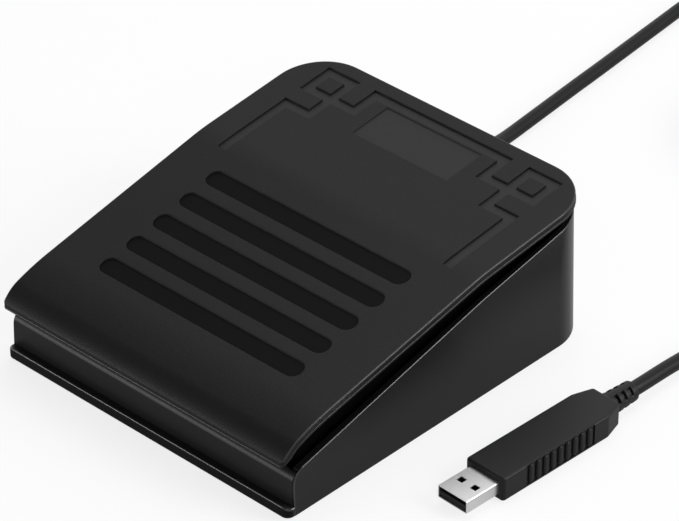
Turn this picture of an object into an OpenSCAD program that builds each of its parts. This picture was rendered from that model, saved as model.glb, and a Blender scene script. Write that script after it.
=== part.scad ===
// A foot pedal switch: a sprung pedal plate on a wedge base, with a lead that ends in a USB plug.
// Lengths are in millimetres and angles in degrees. +X is right, -Y is the front and +Z is up.
// The origin is on the floor, under the middle of the pedal and its base.

/* [Base] */
// Width of the base across the feet of its side walls
base_w = 123; // [110:1:140]
// Depth of the base, from the front wall to the rear wall
base_d = 138.2; // [130:0.2:150]
// Radius of the rear corners, of the base and of the pedal
rear_corner_r = 18; // [10:0.5:18]
// Thickness of the shell's walls at their feet
wall_t = 2.9; // [2.6:0.1:3.4]
// How far the shell's walls lean in as they rise
draft = 1.5; // [0.5:0.1:2]
// Thickness of the front wall
front_t = 2.4; // [2.2:0.1:3]
// Thickness of the tray's floor
floor_t = 3; // [2.6:0.1:4]
// How far the lip stands out in front of the front wall
lip_out = 3; // [1:0.1:4]
// Height of the lip
lip_h = 3.3; // [3:0.1:5]
// Radius of the lip's two corners
lip_r = 2.6; // [1:0.1:4]
// How far the front wall stays below the front end of the rim
front_drop = 0.75; // [0.4:0.05:2]
// Radius along the top of the front wall
front_roll = 2.2; // [1:0.1:2.2]
// How far the shell's rim lies below the pedal's top, at the bend
rim_drop = 9.6; // [8.5:0.1:12]
// Slope of the rim in front of the bend
rim_front_tilt = 13.6; // [12:0.1:15]
// Slope of the rim behind the bend
rim_rear_tilt = 11.2; // [9:0.1:11.5]
// Radius of the shell's top front corners, seen from the side
rim_corner_r = 5.5; // [2:0.1:7]
// Thickness of the shell's skin beside the ends of the front wall
skin_t = 0.8; // [0.6:0.1:1.2]
// Gap between the tray and the shell
seam = 0.15; // [0.1:0.05:0.3]

/* [Pedal] */
// How far the pedal's sides stay inside the feet of the side walls
pedal_side = 0.65; // [0.3:0.05:1.2]
// Thickness of the pedal plate
pedal_t = 2.85; // [2.4:0.05:3.4]
// Height of the pedal's top at its rear edge, above the underside of the base
pedal_h = 51.4; // [50:0.1:56]
// How far the pedal's nose overhangs the front wall
nose_out = 4.35; // [4:0.05:7]
// How far the pedal's rear edge stays in front of the rear wall
pedal_step = 0.2; // [0:0.1:1]
// Length of the rear zone, from the rear edge to the bend
rear_run = 50.5; // [44:0.5:56]
// Slope of the rear zone
rear_tilt = 6.5; // [5:0.1:8]
// Slope of the front zone
front_tilt = 12; // [11:0.1:13]
// Radius of the bend between the two zones
bend_r = 80; // [40:1:120]
// Radius of the soft curl behind the nose
soft_r = 85; // [60:1:110]
// Slope at the end of the soft curl
soft_end = 21.4; // [18:0.1:24]
// Radius of the nose
nose_r = 13; // [9:0.1:16]
// Slope at the tip of the nose
nose_end = 60; // [50:1:70]
// Radius of the nose's two corners, seen from above
nose_corner_r = 1.5; // [0.5:0.1:3]
// Depth of the skirt under the pedal plate
skirt_h = 11; // [9:0.5:12]
// Thickness of the skirt
skirt_t = 1.6; // [1.2:0.1:2]
// Gap between the skirt and the walls around it
skirt_gap = 3.2; // [2.4:0.1:4]
// How far the pedal turns when it is pressed down
press_angle = 3; // [1:0.1:3.2]

/* [Pedal decoration] */
// Depth of the key fret channels
fret_depth = 0.6; // [0.3:0.05:0.9]
// Width of the key fret channels
fret_stroke = 3.7; // [2:0.1:5]
// Pitch of the key fret
fret_pitch = 10.3; // [8:0.1:11]
// Distance from the pedal's side to the outer fret line
fret_side = 12.35; // [8:0.05:14]
// Distance from the pedal's rear edge to the rear fret line
fret_rear = 7.4; // [5:0.1:9]
// Length of the fret's straight legs
fret_leg = 27.8; // [15:0.1:30]
// Width of the label recess
label_w = 40.5; // [20:0.5:44]
// Length of the label recess
label_l = 16.4; // [8:0.1:18]
// Distance from the rear edge to the label recess
label_rear = 10.1; // [10:0.1:14]
// Depth of the label recess
label_depth = 0.35; // [0.2:0.05:0.6]
// Number of grip bars
grip_count = 5; // [2:1:5]
// Length of a grip bar
grip_l = 86; // [40:1:96]
// Width of a grip bar
grip_w = 7; // [4:0.5:8]
// Pitch of the grip bars
grip_pitch = 12; // [9:0.5:12]
// Depth of the grip bars
grip_depth = 0.5; // [0.3:0.05:0.8]

/* [Hinge and springs] */
// Distance from the rear wall's outer face to the hinge
hinge_in = 12; // [11:0.5:16]
// How far the hinge lies below the pedal's top at its rear edge
hinge_drop = 13.4; // [13:0.1:17]
// Diameter of the hinge pin
pin_d = 4; // [3:0.1:5]
// Radial running clearance between the pin and the pedal's ears
run_gap = 0.05; // [0.02:0.01:0.1]
// Radial clearance between the pin and the shell's gussets
hold_gap = 0.03; // [0.02:0.01:0.05]
// Thickness of a pedal ear
ear_t = 6; // [4:0.5:8]
// Distance from the middle to each ear
ear_x = 34; // [32:0.5:35]
// Thickness of a hinge gusset
gusset_t = 3; // [2:0.1:3]
// Outer diameter of a return spring
spring_d = 12; // [10:0.1:14]
// Wire diameter of a return spring
spring_wire = 1.3; // [1:0.1:1.5]
// Turns of a return spring
spring_turns = 6; // [4:1:7]
// Distance from the middle to each spring
spring_x = 34; // [30:0.5:40]
// Distance from the hinge to the springs
spring_arm = 97; // [90:0.5:100]

/* [Switch and board] */
// Distance from the hinge to the switch
switch_arm = 32; // [30:0.5:34]
// Height of the switch body
switch_h = 6.6; // [5:0.1:8]
// How far the plunger stands out of the switch at rest
plunger_out = 2.2; // [2.1:0.1:3]
// Diameter of the plunger
plunger_d = 2.4; // [2:0.1:3]
// Width of the circuit board
board_w = 46; // [44:0.5:50]
// Length of the circuit board
board_l = 38; // [36:0.5:40]
// Thickness of the circuit board
board_t = 1.6; // [1:0.1:2]
// Height of the board's standoffs
standoff_h = 4; // [3.6:0.1:5]

/* [Feet and screws] */
// How far the rubber feet lift the base
foot_h = 0.8; // [0.5:0.1:2]
// Diameter of a rubber foot
foot_d = 12; // [8:0.5:14]
// Depth of a foot's recess in the tray
foot_sink = 1; // [0.6:0.1:1.4]
// Shank diameter of the tray screws
screw_d = 2.9; // [2.5:0.1:3.2]
// Head diameter of the tray screws
screw_head_d = 5.6; // [5:0.1:6.4]
// Height of the shell's screw bosses above the tray's floor
boss_h = 6; // [5:0.1:7]
// Diameter of the shell's screw bosses
boss_d = 7; // [6:0.1:8]

/* [Lead and plug] */
// Diameter of the lead
lead_d = 4.9; // [4.3:0.1:5.1]
// Length of the boot behind the rear wall
boot_l = 22; // [20:0.5:24]
// Diameter of the boot at the wall
boot_d = 9.6; // [8:0.1:10]
// Turns of the coil
coil_turns = 7.2; // [5.2:1:7.2]
// Gap between neighbouring turns of the coil
turn_gap = 0.45; // [0.45:0.05:0.6]
// Width of the plug's grip
grip_body_w = 16; // [14:0.1:18]
// Thickness of the plug's grip
grip_body_h = 8.6; // [8.2:0.1:9]
// Length of the plug's grip
grip_body_l = 54; // [48:0.5:60]
// Length of the metal shell in front of the grip
shell_out = 13.6; // [11:0.1:14]
// Wall thickness of the metal shell
shell_t = 0.3; // [0.3:0.05:0.5]

/* [Hidden] */
$fn = 64;
lap = 0.5;         // how far solids of one piece run into each other
hair = 0.01;       // the same, where a larger overlap would show
past = 1;          // how far a cut runs past the face that it opens
open_l = 10;       // how far a space runs on past its open end
tall = 80;         // taller than the whole part

// Places along the depth and the height
total_d = base_d + nose_out;
y_rear = total_d / 2;
y_tip = -total_d / 2;
y_front = y_rear - base_d;
y_lip = y_front - lip_out;
y_pedal = y_rear - pedal_step;
z_base = foot_h;
z_floor = z_base + floor_t;
z_pedal = z_base + pedal_h;
y_hinge = y_rear - hinge_in;
hinge_h = pedal_h - hinge_drop;
z_hinge = z_base + hinge_h;
inner_w = base_w - 2 * wall_t;
pedal_w = base_w - 2 * pedal_side;
tray_w = inner_w - 2 * seam;
tray_corner_r = 1;
lip_root = tray_w - 2;

// The pedal's top line from rear to nose, as [y, z, slope]
bend_run = bend_r * (sin(front_tilt) - sin(rear_tilt));
soft_run = soft_r * (sin(soft_end) - sin(front_tilt));
nose_run = nose_r * (sin(nose_end) - sin(soft_end));
front_run = total_d - pedal_step - rear_run - bend_run - soft_run - nose_run;
function last(list) = list[len(list) - 1];
function reversed(list) = [for (i = [len(list) - 1:-1:0]) list[i]];
function straight(p, run) = [p[0] - run, p[1] - run * tan(p[2]), p[2]];
function arc_to(p, r, a) = [
    p[0] - r * (sin(a) - sin(p[2])),
    p[1] - r * (cos(p[2]) - cos(a)),
    a
];
function arc_line(p, r, a, n) = [for (i = [1:n]) arc_to(p, r, p[2] + (a - p[2]) * i / n)];
rear_edge = [y_pedal, z_pedal, rear_tilt];
rear_start = straight(rear_edge, -pedal_t);
bend_start = straight(rear_edge, rear_run);
bend_line = arc_line(bend_start, bend_r, front_tilt, 4);
curl_start = straight(last(bend_line), front_run);
soft_line = arc_line(curl_start, soft_r, soft_end, 6);
nose_line = arc_line(last(soft_line), nose_r, nose_end, 10);
skirt_line = concat([rear_start, bend_start], bend_line, [curl_start], soft_line);
top_line = concat(skirt_line, nose_line);
// The points of a line moved down, square to it
function below(line, t) = [for (p = line) [p[0] + t * sin(p[2]), p[1] - t * cos(p[2])]];
function top_z(y) = y > bend_start[0]
    ? z_pedal - (y_pedal - y) * tan(rear_tilt)
    : last(bend_line)[1] - (last(bend_line)[0] - y) * tan(front_tilt);
function under_z(y) = top_z(y) - pedal_t / cos(y > bend_start[0] ? rear_tilt : front_tilt);

// The shell's rim, as heights above the underside
y_bend = (bend_start[0] + last(bend_line)[0]) / 2;
rim_h = pedal_h - (y_pedal - y_bend) * tan(rear_tilt) - rim_drop;
rim_front_h = rim_h - (y_bend - y_front) * tan(rim_front_tilt);
rim_rear_h = rim_h + (y_rear - y_bend) * tan(rim_rear_tilt);
front_h = rim_front_h - front_drop;
rim_tangent = rim_corner_r * tan((90 - rim_front_tilt) / 2);
rim_corner = [
    for (i = [0:8])
        let (a = 180 - (90 - rim_front_tilt) * i / 8)
        [y_front + rim_corner_r * (1 + cos(a)), rim_front_h - rim_tangent + rim_corner_r * sin(a)]
];
rim_profile = concat([[y_front, 0]], rim_corner, [[y_bend, rim_h], [y_rear, rim_rear_h], [y_rear, 0]]);

// Hinge places
pin_r = pin_d / 2;
ear_wall = 3;
ear_r = pin_r + ear_wall;
ear_gap = 0.4;
gusset_off = ear_t / 2 + ear_gap + gusset_t / 2;
gusset_drop = 13;
gusset_rise = ear_r;
gusset_wall = 1;
gusset_reach = ear_r + gusset_wall;
gusset_foot = 1;
skirt_clear = 8;
skirt_corner_r = 3;
skirt_end_r = 1;
skirt_root = 0.8;
clip_t = 1;
clip_wall = 2.2;
clip_r = pin_r + clip_wall;
clip_gap = 0.1;
clip_x = ear_x + gusset_off + gusset_t / 2 + clip_gap;
pin_end = 1.4;
pin_l = 2 * (clip_x + clip_t + pin_end);

// Spring places
y_spring = y_hinge - spring_arm;
cup_wall = 2;
cup_play = 0.6;
cup_deep = 2.5;
cup_hang = 2.5;
cup_r = spring_d / 2 + cup_play + cup_wall;
z_seat = under_z(y_spring - cup_r) - cup_hang + cup_deep;
spring_gap = 0.3;
spring_len = z_seat - spring_gap - z_floor;
spring_post_r = spring_d / 2 - spring_wire - cup_play;
spring_post_h = 5;

// The stop that holds the pedal down at rest: a toe in a window
stop_in = 17;
stop_y = y_front + stop_in;
stop_t = 2;
stop_w = 16;
toe_w = 8;
toe_t = 2;
toe_gap = 0.3;
toe_side = 1;
toe_back = 0.7;
toe_room = 1;
stop_over = 3;
finger_t = 2.4;
window_low = 1.2;
toe_drop = (y_hinge - stop_y + finger_t) * sin(press_angle);
z_toe = z_floor + window_low + toe_drop + toe_room;
z_window = z_toe + toe_t + toe_gap;
z_stop = z_window + stop_over;

// Board, switch and what stands on the board
y_switch = y_hinge - switch_arm;
board_shift = 2;
y_board = y_switch - board_shift;
board_x = -8;
z_board = z_floor + standoff_h;
z_board_top = z_board + board_t;
board_hole_in = 4;
board_hole_x = board_w / 2 - board_hole_in;
board_hole_y = board_l / 2 - board_hole_in;
board_screw_r = 1.2;
board_screw_gap = 0.05;
board_head_r = 2.5;
board_head_h = 1.4;
standoff_r = 3;
switch_w = 12.8;
switch_l = 5.8;
switch_pin_r = 0.4;
switch_pin_pitch = 5;
switch_pin_out = 1.4;
plunger_in = 2.4;
plunger_play = 0.1;
plunger_travel = switch_arm * sin(press_angle);
well_room = 0.4;
plunger_well = plunger_in + plunger_travel + well_room;
z_switch_top = z_board_top + switch_h;
z_plunger = z_switch_top + plunger_out;
presser_r = 3;
presser_gap = 0.3;
chip_size = [10, 4, 1.6];
chip_at = [-20, y_switch - 10];
chip_legs = 8;
chip_pitch = 1.27;
leg_w = 0.45;
leg_reach = 1;
leg_t = 0.3;
crystal_at = [4, y_switch - 12];
crystal_l = 11;
crystal_w = 4.6;
crystal_h = 3.6;
header_size = [12.4, 7, 6];
header_wall = 1;
header_x = -17;
header_at = [header_x, y_board + board_l / 2 - header_size[1]];
fit_gap = 0.1;
connector_in = 5.5;
connector_out = 3.5;
wire_r = 0.45;
wire_pitch = 2;
wire_count = 5;
wire_bunch_x = 0.65;
wire_bunch_z = 1.25;
wire_stub = 0.1;

// Screws that hold the tray to the shell
screw_r = screw_d / 2;
screw_gap = 0.05;
screw_head_r = screw_head_d / 2;
head_room = 0.3;
head_sink = 1.8;
head_t = 1.6;
boss_r = boss_d / 2;
head_edge = 0.8;
boss_x = tray_w / 2 - screw_head_r - head_room - head_edge;
boss_web = 3;
boss_cap = 0.6;
screw_short = 1;
foot_r = foot_d / 2;
foot_gap = 0.1;
foot_inset = 11;
foot_rear_x = 6;
foot_rear_y = 8;
feet = [
    for (s = [-1, 1]) each [
        [s * (tray_w / 2 - foot_inset), y_front + foot_inset],
        [s * (tray_w / 2 - foot_inset - foot_rear_x), y_rear - foot_inset - foot_rear_y]
    ]
];
// The front screws stand behind the feet by this much
boss_behind = 2;
boss_front = foot_inset + foot_r + screw_head_r + boss_behind;
boss_rear = 18;
boss_y = [y_front + boss_front, y_hinge - boss_rear];
cross_w = 0.8;
cross_l = 3.2;
cross_deep = 0.9;

// The boot, the clamp and the jacket inside
lead_r = lead_d / 2;
x_exit = -26;
exit_rise = 6.4;
z_exit = z_floor + exit_rise;
boot_r = boot_d / 2;
boot_flange_out = 0.8;
boot_flange_r = boot_r + boot_flange_out;
boot_flange_t = 1.5;
boot_neck_gap = 0.1;
boot_neck_in = 0.7;
boot_neck_r = boot_r - boot_neck_in;
boot_end_t = 0.7;
boot_end_r = lead_r + boot_end_t;
boot_ribs = 4;
rib_cut = 0.6;
clamp_back = 4;
clamp_y = y_hinge + clamp_back;
clamp_size = [20, 6, 2.6];
clamp_boss_r = 2.8;
clamp_boss_x = 6.6;
clamp_screw_r = 1.2;
clamp_screw_in = 5;
clamp_gap = 0.1;
jacket_start = y_rear - wall_t - boot_flange_t;
jacket_past = 1;
jacket_end = clamp_y - clamp_size[1] / 2 - jacket_past;
lead_sides = 10;

// The lead's free stretches, chosen by hand, and its coil
lead_lift = 0.05;
lead_z = lead_r + lead_lift;
tie_w = 4;
tie_t = 1;
tie_gap = 0.3;
tie_lift = 0.1;
tie_sink = 0.2;
tie_head = [7, 5.6, 4.4];
tie_angle = 20;
coil_at = [44, 205];
coil_r = 35;
coil_pitch = lead_d + turn_gap;
coil_z = lead_r + tie_gap + tie_t + tie_lift;
coil_start = 180;
coil_rings = 24;
coil_sides = 6;
rear_route = [
    [-26.2, 103, 9.5], [-27, 110, 7.6], [-28.1, 117, 5.4], [-29.4, 126, 3.2], [-30.5, 134, lead_z],
    [-31.9, 147, lead_z], [-33.3, 160, lead_z], [-34.7, 173, lead_z], [-36, 186, lead_z],
    [-37.4, 199, lead_z], [-38.8, 212, lead_z], [-40.2, 225, lead_z], [-41.6, 238, lead_z],
    [-42.1, 246, lead_z], [-40.7, 255, lead_z], [-36.4, 263, lead_z], [-29, 269, lead_z],
    [-19, 272, lead_z], [-8.5, 270.5, lead_z], [0.5, 265.5, lead_z], [6.5, 257, lead_z],
    [9, 246, lead_z], [9, 234, 2.8], [9, 222, 3.5]
];
plug_route = [
    [48, 166.3, 8.1], [58, 162.7, 5.6], [67, 159, 3.6], [76.5, 154, lead_z], [84.5, 147, lead_z],
    [89.8, 139, lead_z], [92.6, 129, lead_z], [94, 118, lead_z], [94.8, 106, lead_z],
    [95.5, 94, 2.6], [96, 84, 2.9], [96.3, 74, 3.5], [96.3, 64, 4.1]
];

// The plug lies beside the base, turned a little
plug_at = [93.4, -18.1];
plug_turn = 2.3;
grip_taper_l = 7.5;
grip_taper_w = 2.4;
grip_corner_r = 1.2;
groove_count = 10;
groove_r = 0.6;
groove_out = 0.2;
groove_edge = 1.1;
groove_pitch = 3.35;
groove_start = 10.9;
relief_l = 11.5;
relief_r = 3.9;
relief_end_t = 1;
relief_end_r = lead_r + relief_end_t;
relief_core_t = 0.3;
relief_core_r = lead_r + relief_core_t;
relief_slots = 3;
relief_slot = 1.4;
relief_pitch = 3;
relief_first = 1.7;
relief_rib = 2.4;
relief_rib_in = 1;
shell_w = 12;
shell_h = 4.5;
shell_in = 6;
shell_corner_r = 0.4;
shell_fit = 0.05;
shell_hole = 2.3;
shell_hole_x = 2.8;
shell_hole_back = 6.8;
tongue_t = 1.9;
tongue_back = 0.6;
contact_w = [1.1, 1, 1, 1.1];
contact_x = [-3.5, -1, 1, 3.5];
contact_l = [8.4, 7.4, 7.4, 8.4];
contact_t = 0.2;
contact_back = 1;
plug_axis = [sin(plug_turn), cos(plug_turn), 0];
plug_end = [plug_at[0], plug_at[1], grip_body_h / 2] + (grip_body_l + relief_l) * plug_axis;

// Shapes that repeat

// Extrudes a side profile, given as (y, z), across the width
module across(w) {
    rotate([90, 0, 90]) linear_extrude(w, center = true) children();
}

// A rectangle from y0 to y1 with round front and rear corners
module plan(w, y0, y1, rf, rr) {
    translate([-w / 2, y0 + rf]) square([w, y1 - y0 - rf - rr]);
    translate([-w / 2 + rf, y0]) square([w - 2 * rf, rf + lap]);
    translate([-w / 2 + rr, y1 - rr - lap]) square([w - 2 * rr, rr + lap]);
    for (s = [-1, 1]) {
        translate([s * (w / 2 - rf), y0 + rf]) circle(rf);
        translate([s * (w / 2 - rr), y1 - rr]) circle(rr);
    }
}

// A cylinder along X, centred on x
module along_x(x, y, z, r, l) {
    translate([x, y, z]) rotate([0, 90, 0]) cylinder(h = l, r = r, center = true);
}

// A straight channel between two grid points, with square ends
module stroke(a, b) {
    low = [min(a[0], b[0]), min(a[1], b[1])];
    high = [max(a[0], b[0]), max(a[1], b[1])];
    half = [fret_stroke, fret_stroke] / 2;
    translate(low - half) square(high - low + 2 * half);
}

// A screw with its head down or up, and a cross in the head
module screw(shank_r, shank_l, head_r, head_l) {
    difference() {
        union() {
            cylinder(h = shank_l, r = shank_r);
            translate([0, 0, -head_l]) cylinder(h = head_l, r = head_r);
        }
        for (a = [0, 90])
            rotate([0, 0, a])
                translate([0, 0, -head_l]) cube([cross_l, cross_w, 2 * cross_deep], center = true);
    }
}

// A tube swept along points, with flat ends
function unit(v) = v / norm(v);
function heading(path, i) = unit(path[min(i + 1, len(path) - 1)] - path[max(i - 1, 0)]);
function ring(p, t, r, n) =
    let (side = unit(cross(t, [0, 0, 1])), up = cross(side, t))
    [for (j = [0:n - 1]) p + r * (cos(360 * j / n) * side + sin(360 * j / n) * up)];
module tube(path, r, n) {
    m = len(path);
    points = [for (i = [0:m - 1]) each ring(path[i], heading(path, i), r, n)];
    sides = [
        for (i = [0:m - 2], j = [0:n - 1])
            let (a = i * n + j, b = i * n + (j + 1) % n)
            each [[a, b, b + n], [a, b + n, a + n]]
    ];
    first_cap = [for (j = [1:n - 2]) [0, j + 1, j]];
    last_cap = [for (j = [1:n - 2]) [(m - 1) * n, (m - 1) * n + j, (m - 1) * n + j + 1]];
    polyhedron(points, concat(sides, first_cap, last_cap));
}

// The coil: the turns spiral in on one layer, climb, and spiral out on the next
half_turns = coil_turns / 2 * 360;
function ease(x) = let (c = min(max(x, 0), 1)) c * c * (3 - 2 * c);
function coil_point(a) =
    let (
        r = coil_r - coil_pitch * (half_turns - abs(a - half_turns)) / 360,
        z = coil_z + coil_pitch * ease((a - half_turns + 90) / 180)
    )
    [coil_at[0] + r * cos(coil_start + a), coil_at[1] + r * sin(coil_start + a), z];
coil_steps = ceil(coil_turns * coil_rings);
coil_turn_points = [for (i = [0:coil_steps]) coil_point(coil_turns * 360 * i / coil_steps)];
coil_out_way = unit([
    -sin(coil_start + coil_turns * 360),
    cos(coil_start + coil_turns * 360),
    0
]);
coil_in = coil_turn_points[0] + [0, lead_d, 0];
coil_out = last(coil_turn_points) + lead_d * coil_out_way;
coil_path = concat([coil_in], coil_turn_points, [coil_out]);
// Least gap of the coil to itself, between points at least half a turn apart
coil_gap = min([
    for (i = [0:len(coil_path) - 1], j = [i + coil_rings / 2:1:len(coil_path) - 1])
        norm(coil_path[i] - coil_path[j])
]) - lead_d;
echo(coil_gap = coil_gap);

// A return spring, from its foot up
spring_rings = 8;
function spring_point(x, i) =
    let (
        steps = spring_turns * spring_rings,
        a = 360 * i / spring_rings,
        r = (spring_d - spring_wire) / 2,
        rise = spring_len - spring_wire
    )
    [x + r * cos(a), y_spring + r * sin(a), z_floor + spring_wire / 2 + rise * i / steps];
spring_rise = (spring_len - spring_wire) / spring_turns;
echo(spring_gap_between_turns = spring_rise - spring_wire);
module spring(x) {
    tube([for (i = [0:spring_turns * spring_rings]) spring_point(x, i)], spring_wire / 2, 6);
}

// Base

module tray_body() {
    translate([0, 0, z_base]) {
        // Floor
        linear_extrude(floor_t)
            plan(tray_w, y_front, y_rear - wall_t - seam, tray_corner_r, rear_corner_r - wall_t - seam);
        // Lip, whose ends close the front of the shell's side walls
        linear_extrude(lip_h) {
            intersection() {
                plan(base_w, y_lip, y_front + 2 * lip_r, lip_r, lip_r);
                translate([-base_w / 2, y_lip]) square([base_w, lip_out]);
            }
            translate([-lip_root / 2, y_lip + lip_out / 2]) square([lip_root, lip_out]);
        }
        // Front wall with a rounded top edge
        across(base_w - 2 * (skin_t + seam)) {
            translate([y_front, lip_h - lap]) square([front_t, front_h - front_roll - lip_h + lap]);
            translate([y_front + front_roll, front_h - front_roll - lap])
                square([front_t - front_roll + hair, front_roll + lap]);
            translate([y_front + front_roll, front_h - front_roll]) intersection() {
                circle(front_roll);
                translate([-front_roll, 0]) square(front_roll + hair);
            }
        }
        across(lip_root) translate([y_front, 0]) square([front_t, lip_h]);
    }
    // Posts inside the return springs
    for (s = [-1, 1])
        translate([s * spring_x, y_spring, z_floor - lap])
            cylinder(h = spring_post_h + lap, r = spring_post_r);
    // Standoffs under the board
    for (s = [-1, 1], t = [-1, 1])
        translate([board_x + s * board_hole_x, y_board + t * board_hole_y, z_floor - lap])
            cylinder(h = standoff_h + lap, r = standoff_r);
    // Upright with the window for the pedal's toe
    translate([-stop_w / 2, stop_y - stop_t / 2, z_floor - lap])
        cube([stop_w, stop_t, z_stop - z_floor + lap]);
    // Bosses and saddle for the clamp on the lead
    for (s = [-1, 1])
        translate([x_exit + s * clamp_boss_x, clamp_y, z_floor - lap])
            cylinder(h = z_exit + lead_r + clamp_gap - z_floor + lap, r = clamp_boss_r);
    translate([x_exit - lead_r, clamp_y - clamp_size[1] / 2, z_floor - lap])
        cube([lead_d, clamp_size[1], z_exit - lead_r - clamp_gap - z_floor + lap]);
}

module base_tray() color("#26272a") difference() {
    tray_body();
    // Window for the toe
    translate([-toe_w / 2 - toe_side, stop_y - stop_t, z_floor + window_low])
        cube([toe_w + 2 * toe_side, 2 * stop_t, z_window - z_floor - window_low]);
    // Screw holes and their counterbores
    for (s = [-1, 1], y = boss_y) translate([s * boss_x, y, 0]) {
        cylinder(h = tall, r = screw_r + head_room);
        cylinder(h = z_base + head_sink, r = screw_head_r + head_room);
    }
    // Recesses for the feet
    for (p = feet) translate([p[0], p[1], 0]) cylinder(h = z_base + foot_sink, r = foot_r + foot_gap);
    // Pilot holes in the standoffs and the clamp bosses
    for (s = [-1, 1], t = [-1, 1])
        translate([board_x + s * board_hole_x, y_board + t * board_hole_y, z_floor])
            cylinder(h = tall, r = board_screw_r + board_screw_gap);
    for (s = [-1, 1])
        translate([x_exit + s * clamp_boss_x, clamp_y, z_floor])
            cylinder(h = tall, r = clamp_screw_r + board_screw_gap);
}

// A block from y0 to y1 whose side walls and round-cornered rear wall lean in as they rise
module drafted_block(w, y0, y1, r) {
    lean = tall * tan(draft);
    translate([0, y1 - r, 0]) rotate([90, 0, 0]) linear_extrude(y1 - r - y0)
        polygon([[-w / 2, 0], [w / 2, 0], [w / 2 - lean, tall], [lean - w / 2, tall]]);
    across(w - 2 * r) polygon([[y1 - r - lap, 0], [y1, 0], [y1 - lean, tall], [y1 - r - lap, tall]]);
    for (s = [-1, 1]) translate([s * (w / 2 - r), y1 - r, 0]) cylinder(h = tall, r1 = r, r2 = r - lean);
}

module shell_walls() {
    difference() {
        intersection() {
            drafted_block(base_w, y_front, y_rear, rear_corner_r);
            across(base_w + 2 * past) polygon(rim_profile);
        }
        translate([0, 0, -past]) linear_extrude(tall)
            plan(inner_w, y_front - open_l, y_rear - wall_t, tray_corner_r, rear_corner_r - wall_t);
        // Rebate for the ends of the tray's front wall
        translate([-base_w / 2 + skin_t, y_front - past, -past])
            cube([base_w - 2 * skin_t, front_t + seam + past, tall]);
    }
}

module hinge_gusset(x) {
    translate([x, 0, 0]) across(gusset_t) polygon([
        [y_hinge - gusset_reach, hinge_h + gusset_rise],
        [y_hinge - gusset_reach, hinge_h - gusset_rise],
        [y_rear - wall_t - gusset_foot, hinge_h - gusset_drop],
        [y_rear - wall_t + lap, hinge_h - gusset_drop],
        [y_rear - wall_t + lap, hinge_h + gusset_rise]
    ]);
}

module side_shell() color("#2d2e31") difference() {
    translate([0, 0, z_base]) union() {
        shell_walls();
        for (s = [-1, 1], g = [-1, 1]) hinge_gusset(s * ear_x + g * gusset_off);
        for (s = [-1, 1], y = boss_y) {
            translate([s * boss_x, y, floor_t]) cylinder(h = boss_h, r = boss_r);
            // Web from the boss to the side wall
            translate([s * (boss_x + inner_w / 2 + lap) / 2, y, floor_t + boss_h / 2])
                cube([inner_w / 2 + lap - boss_x, boss_web, boss_h], center = true);
        }
    }
    along_x(0, y_hinge, z_hinge, pin_r + hold_gap, pin_l);
    for (s = [-1, 1], y = boss_y)
        translate([s * boss_x, y, z_floor - past])
            cylinder(h = boss_h - boss_cap + past, r = screw_r + screw_gap);
    translate([x_exit, y_rear, z_exit]) rotate([90, 0, 0])
        cylinder(h = 3 * wall_t, r = boot_neck_r + boot_neck_gap, center = true);
}

module tray_screws() color("#9a9ca0") {
    for (s = [-1, 1], y = boss_y)
        translate([s * boss_x, y, z_base + head_sink])
            screw(screw_r, floor_t - head_sink + boss_h - screw_short, screw_head_r, head_t);
}

module rubber_feet() color("#17181a") {
    for (p = feet) translate([p[0], p[1], 0]) cylinder(h = foot_h + foot_sink, r = foot_r);
}

// Pedal

module pedal_skin() {
    intersection() {
        across(pedal_w + 2 * past) polygon(concat(below(top_line, 0), reversed(below(top_line, pedal_t))));
        linear_extrude(tall) plan(pedal_w, y_tip, y_pedal, nose_corner_r, rear_corner_r);
    }
}

// The space under the middle of the pedal plate, where its ribs and posts end
module under_plate() {
    across(base_w) polygon(concat(
        below(top_line, pedal_t / 2),
        [[y_tip, 0], [y_rear, 0]]
    ));
}

module pedal_skirt() {
    y0 = y_front + front_t + skirt_gap;
    y1 = y_hinge - gusset_reach - skirt_clear;
    w = inner_w - 2 * skirt_gap;
    band = concat(skirt_line, [straight(last(soft_line), skirt_h)]);
    intersection() {
        linear_extrude(tall) difference() {
            plan(w, y0, y1, skirt_corner_r, skirt_end_r);
            plan(w - 2 * skirt_t, y0 + skirt_t, y1 + open_l, skirt_corner_r - skirt_t, skirt_end_r);
        }
        across(base_w) polygon(concat(
            below(band, pedal_t - skirt_root),
            reversed(below(band, pedal_t + skirt_h))
        ));
    }
}

module pedal_posts() {
    intersection() {
        union() {
            for (s = [-1, 1]) {
                translate([s * ear_x - ear_t / 2, y_hinge - ear_r, z_hinge]) cube([ear_t, 2 * ear_r, tall]);
                translate([s * spring_x, y_spring, z_seat - cup_deep]) cylinder(h = tall, r = cup_r);
            }
            translate([0, y_switch, z_plunger + presser_gap]) cylinder(h = tall, r = presser_r);
            translate([-toe_w / 2, stop_y + stop_t / 2 + toe_back, z_toe]) cube([toe_w, finger_t, tall]);
        }
        under_plate();
    }
    for (s = [-1, 1]) along_x(s * ear_x, y_hinge, z_hinge, ear_r, ear_t);
    translate([-toe_w / 2, stop_y - stop_t / 2, z_toe]) cube([toe_w, stop_t + toe_back + lap, toe_t]);
}

// The channels of the key fret, measured from the rear edge
module key_fret() {
    gx = [for (i = [0:2]) pedal_w / 2 - fret_side - i * fret_pitch];
    gy = [for (i = [0:2]) -fret_rear - i * fret_pitch];
    stroke([-gx[2], gy[0]], [gx[2], gy[0]]);
    for (s = [-1, 1]) {
        stroke([s * gx[0], gy[0]], [s * gx[1], gy[0]]);
        stroke([s * gx[1], gy[0]], [s * gx[1], gy[2]]);
        stroke([s * gx[0], gy[0]], [s * gx[0], gy[1]]);
        stroke([s * gx[0], gy[1]], [s * gx[2], gy[1]]);
        stroke([s * gx[2], gy[1]], [s * gx[2], gy[0]]);
        stroke([s * gx[1], gy[2]], [s * gx[0], gy[2]]);
        stroke([s * gx[0], gy[2]], [s * gx[0], gy[2] - fret_leg]);
    }
}

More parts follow.
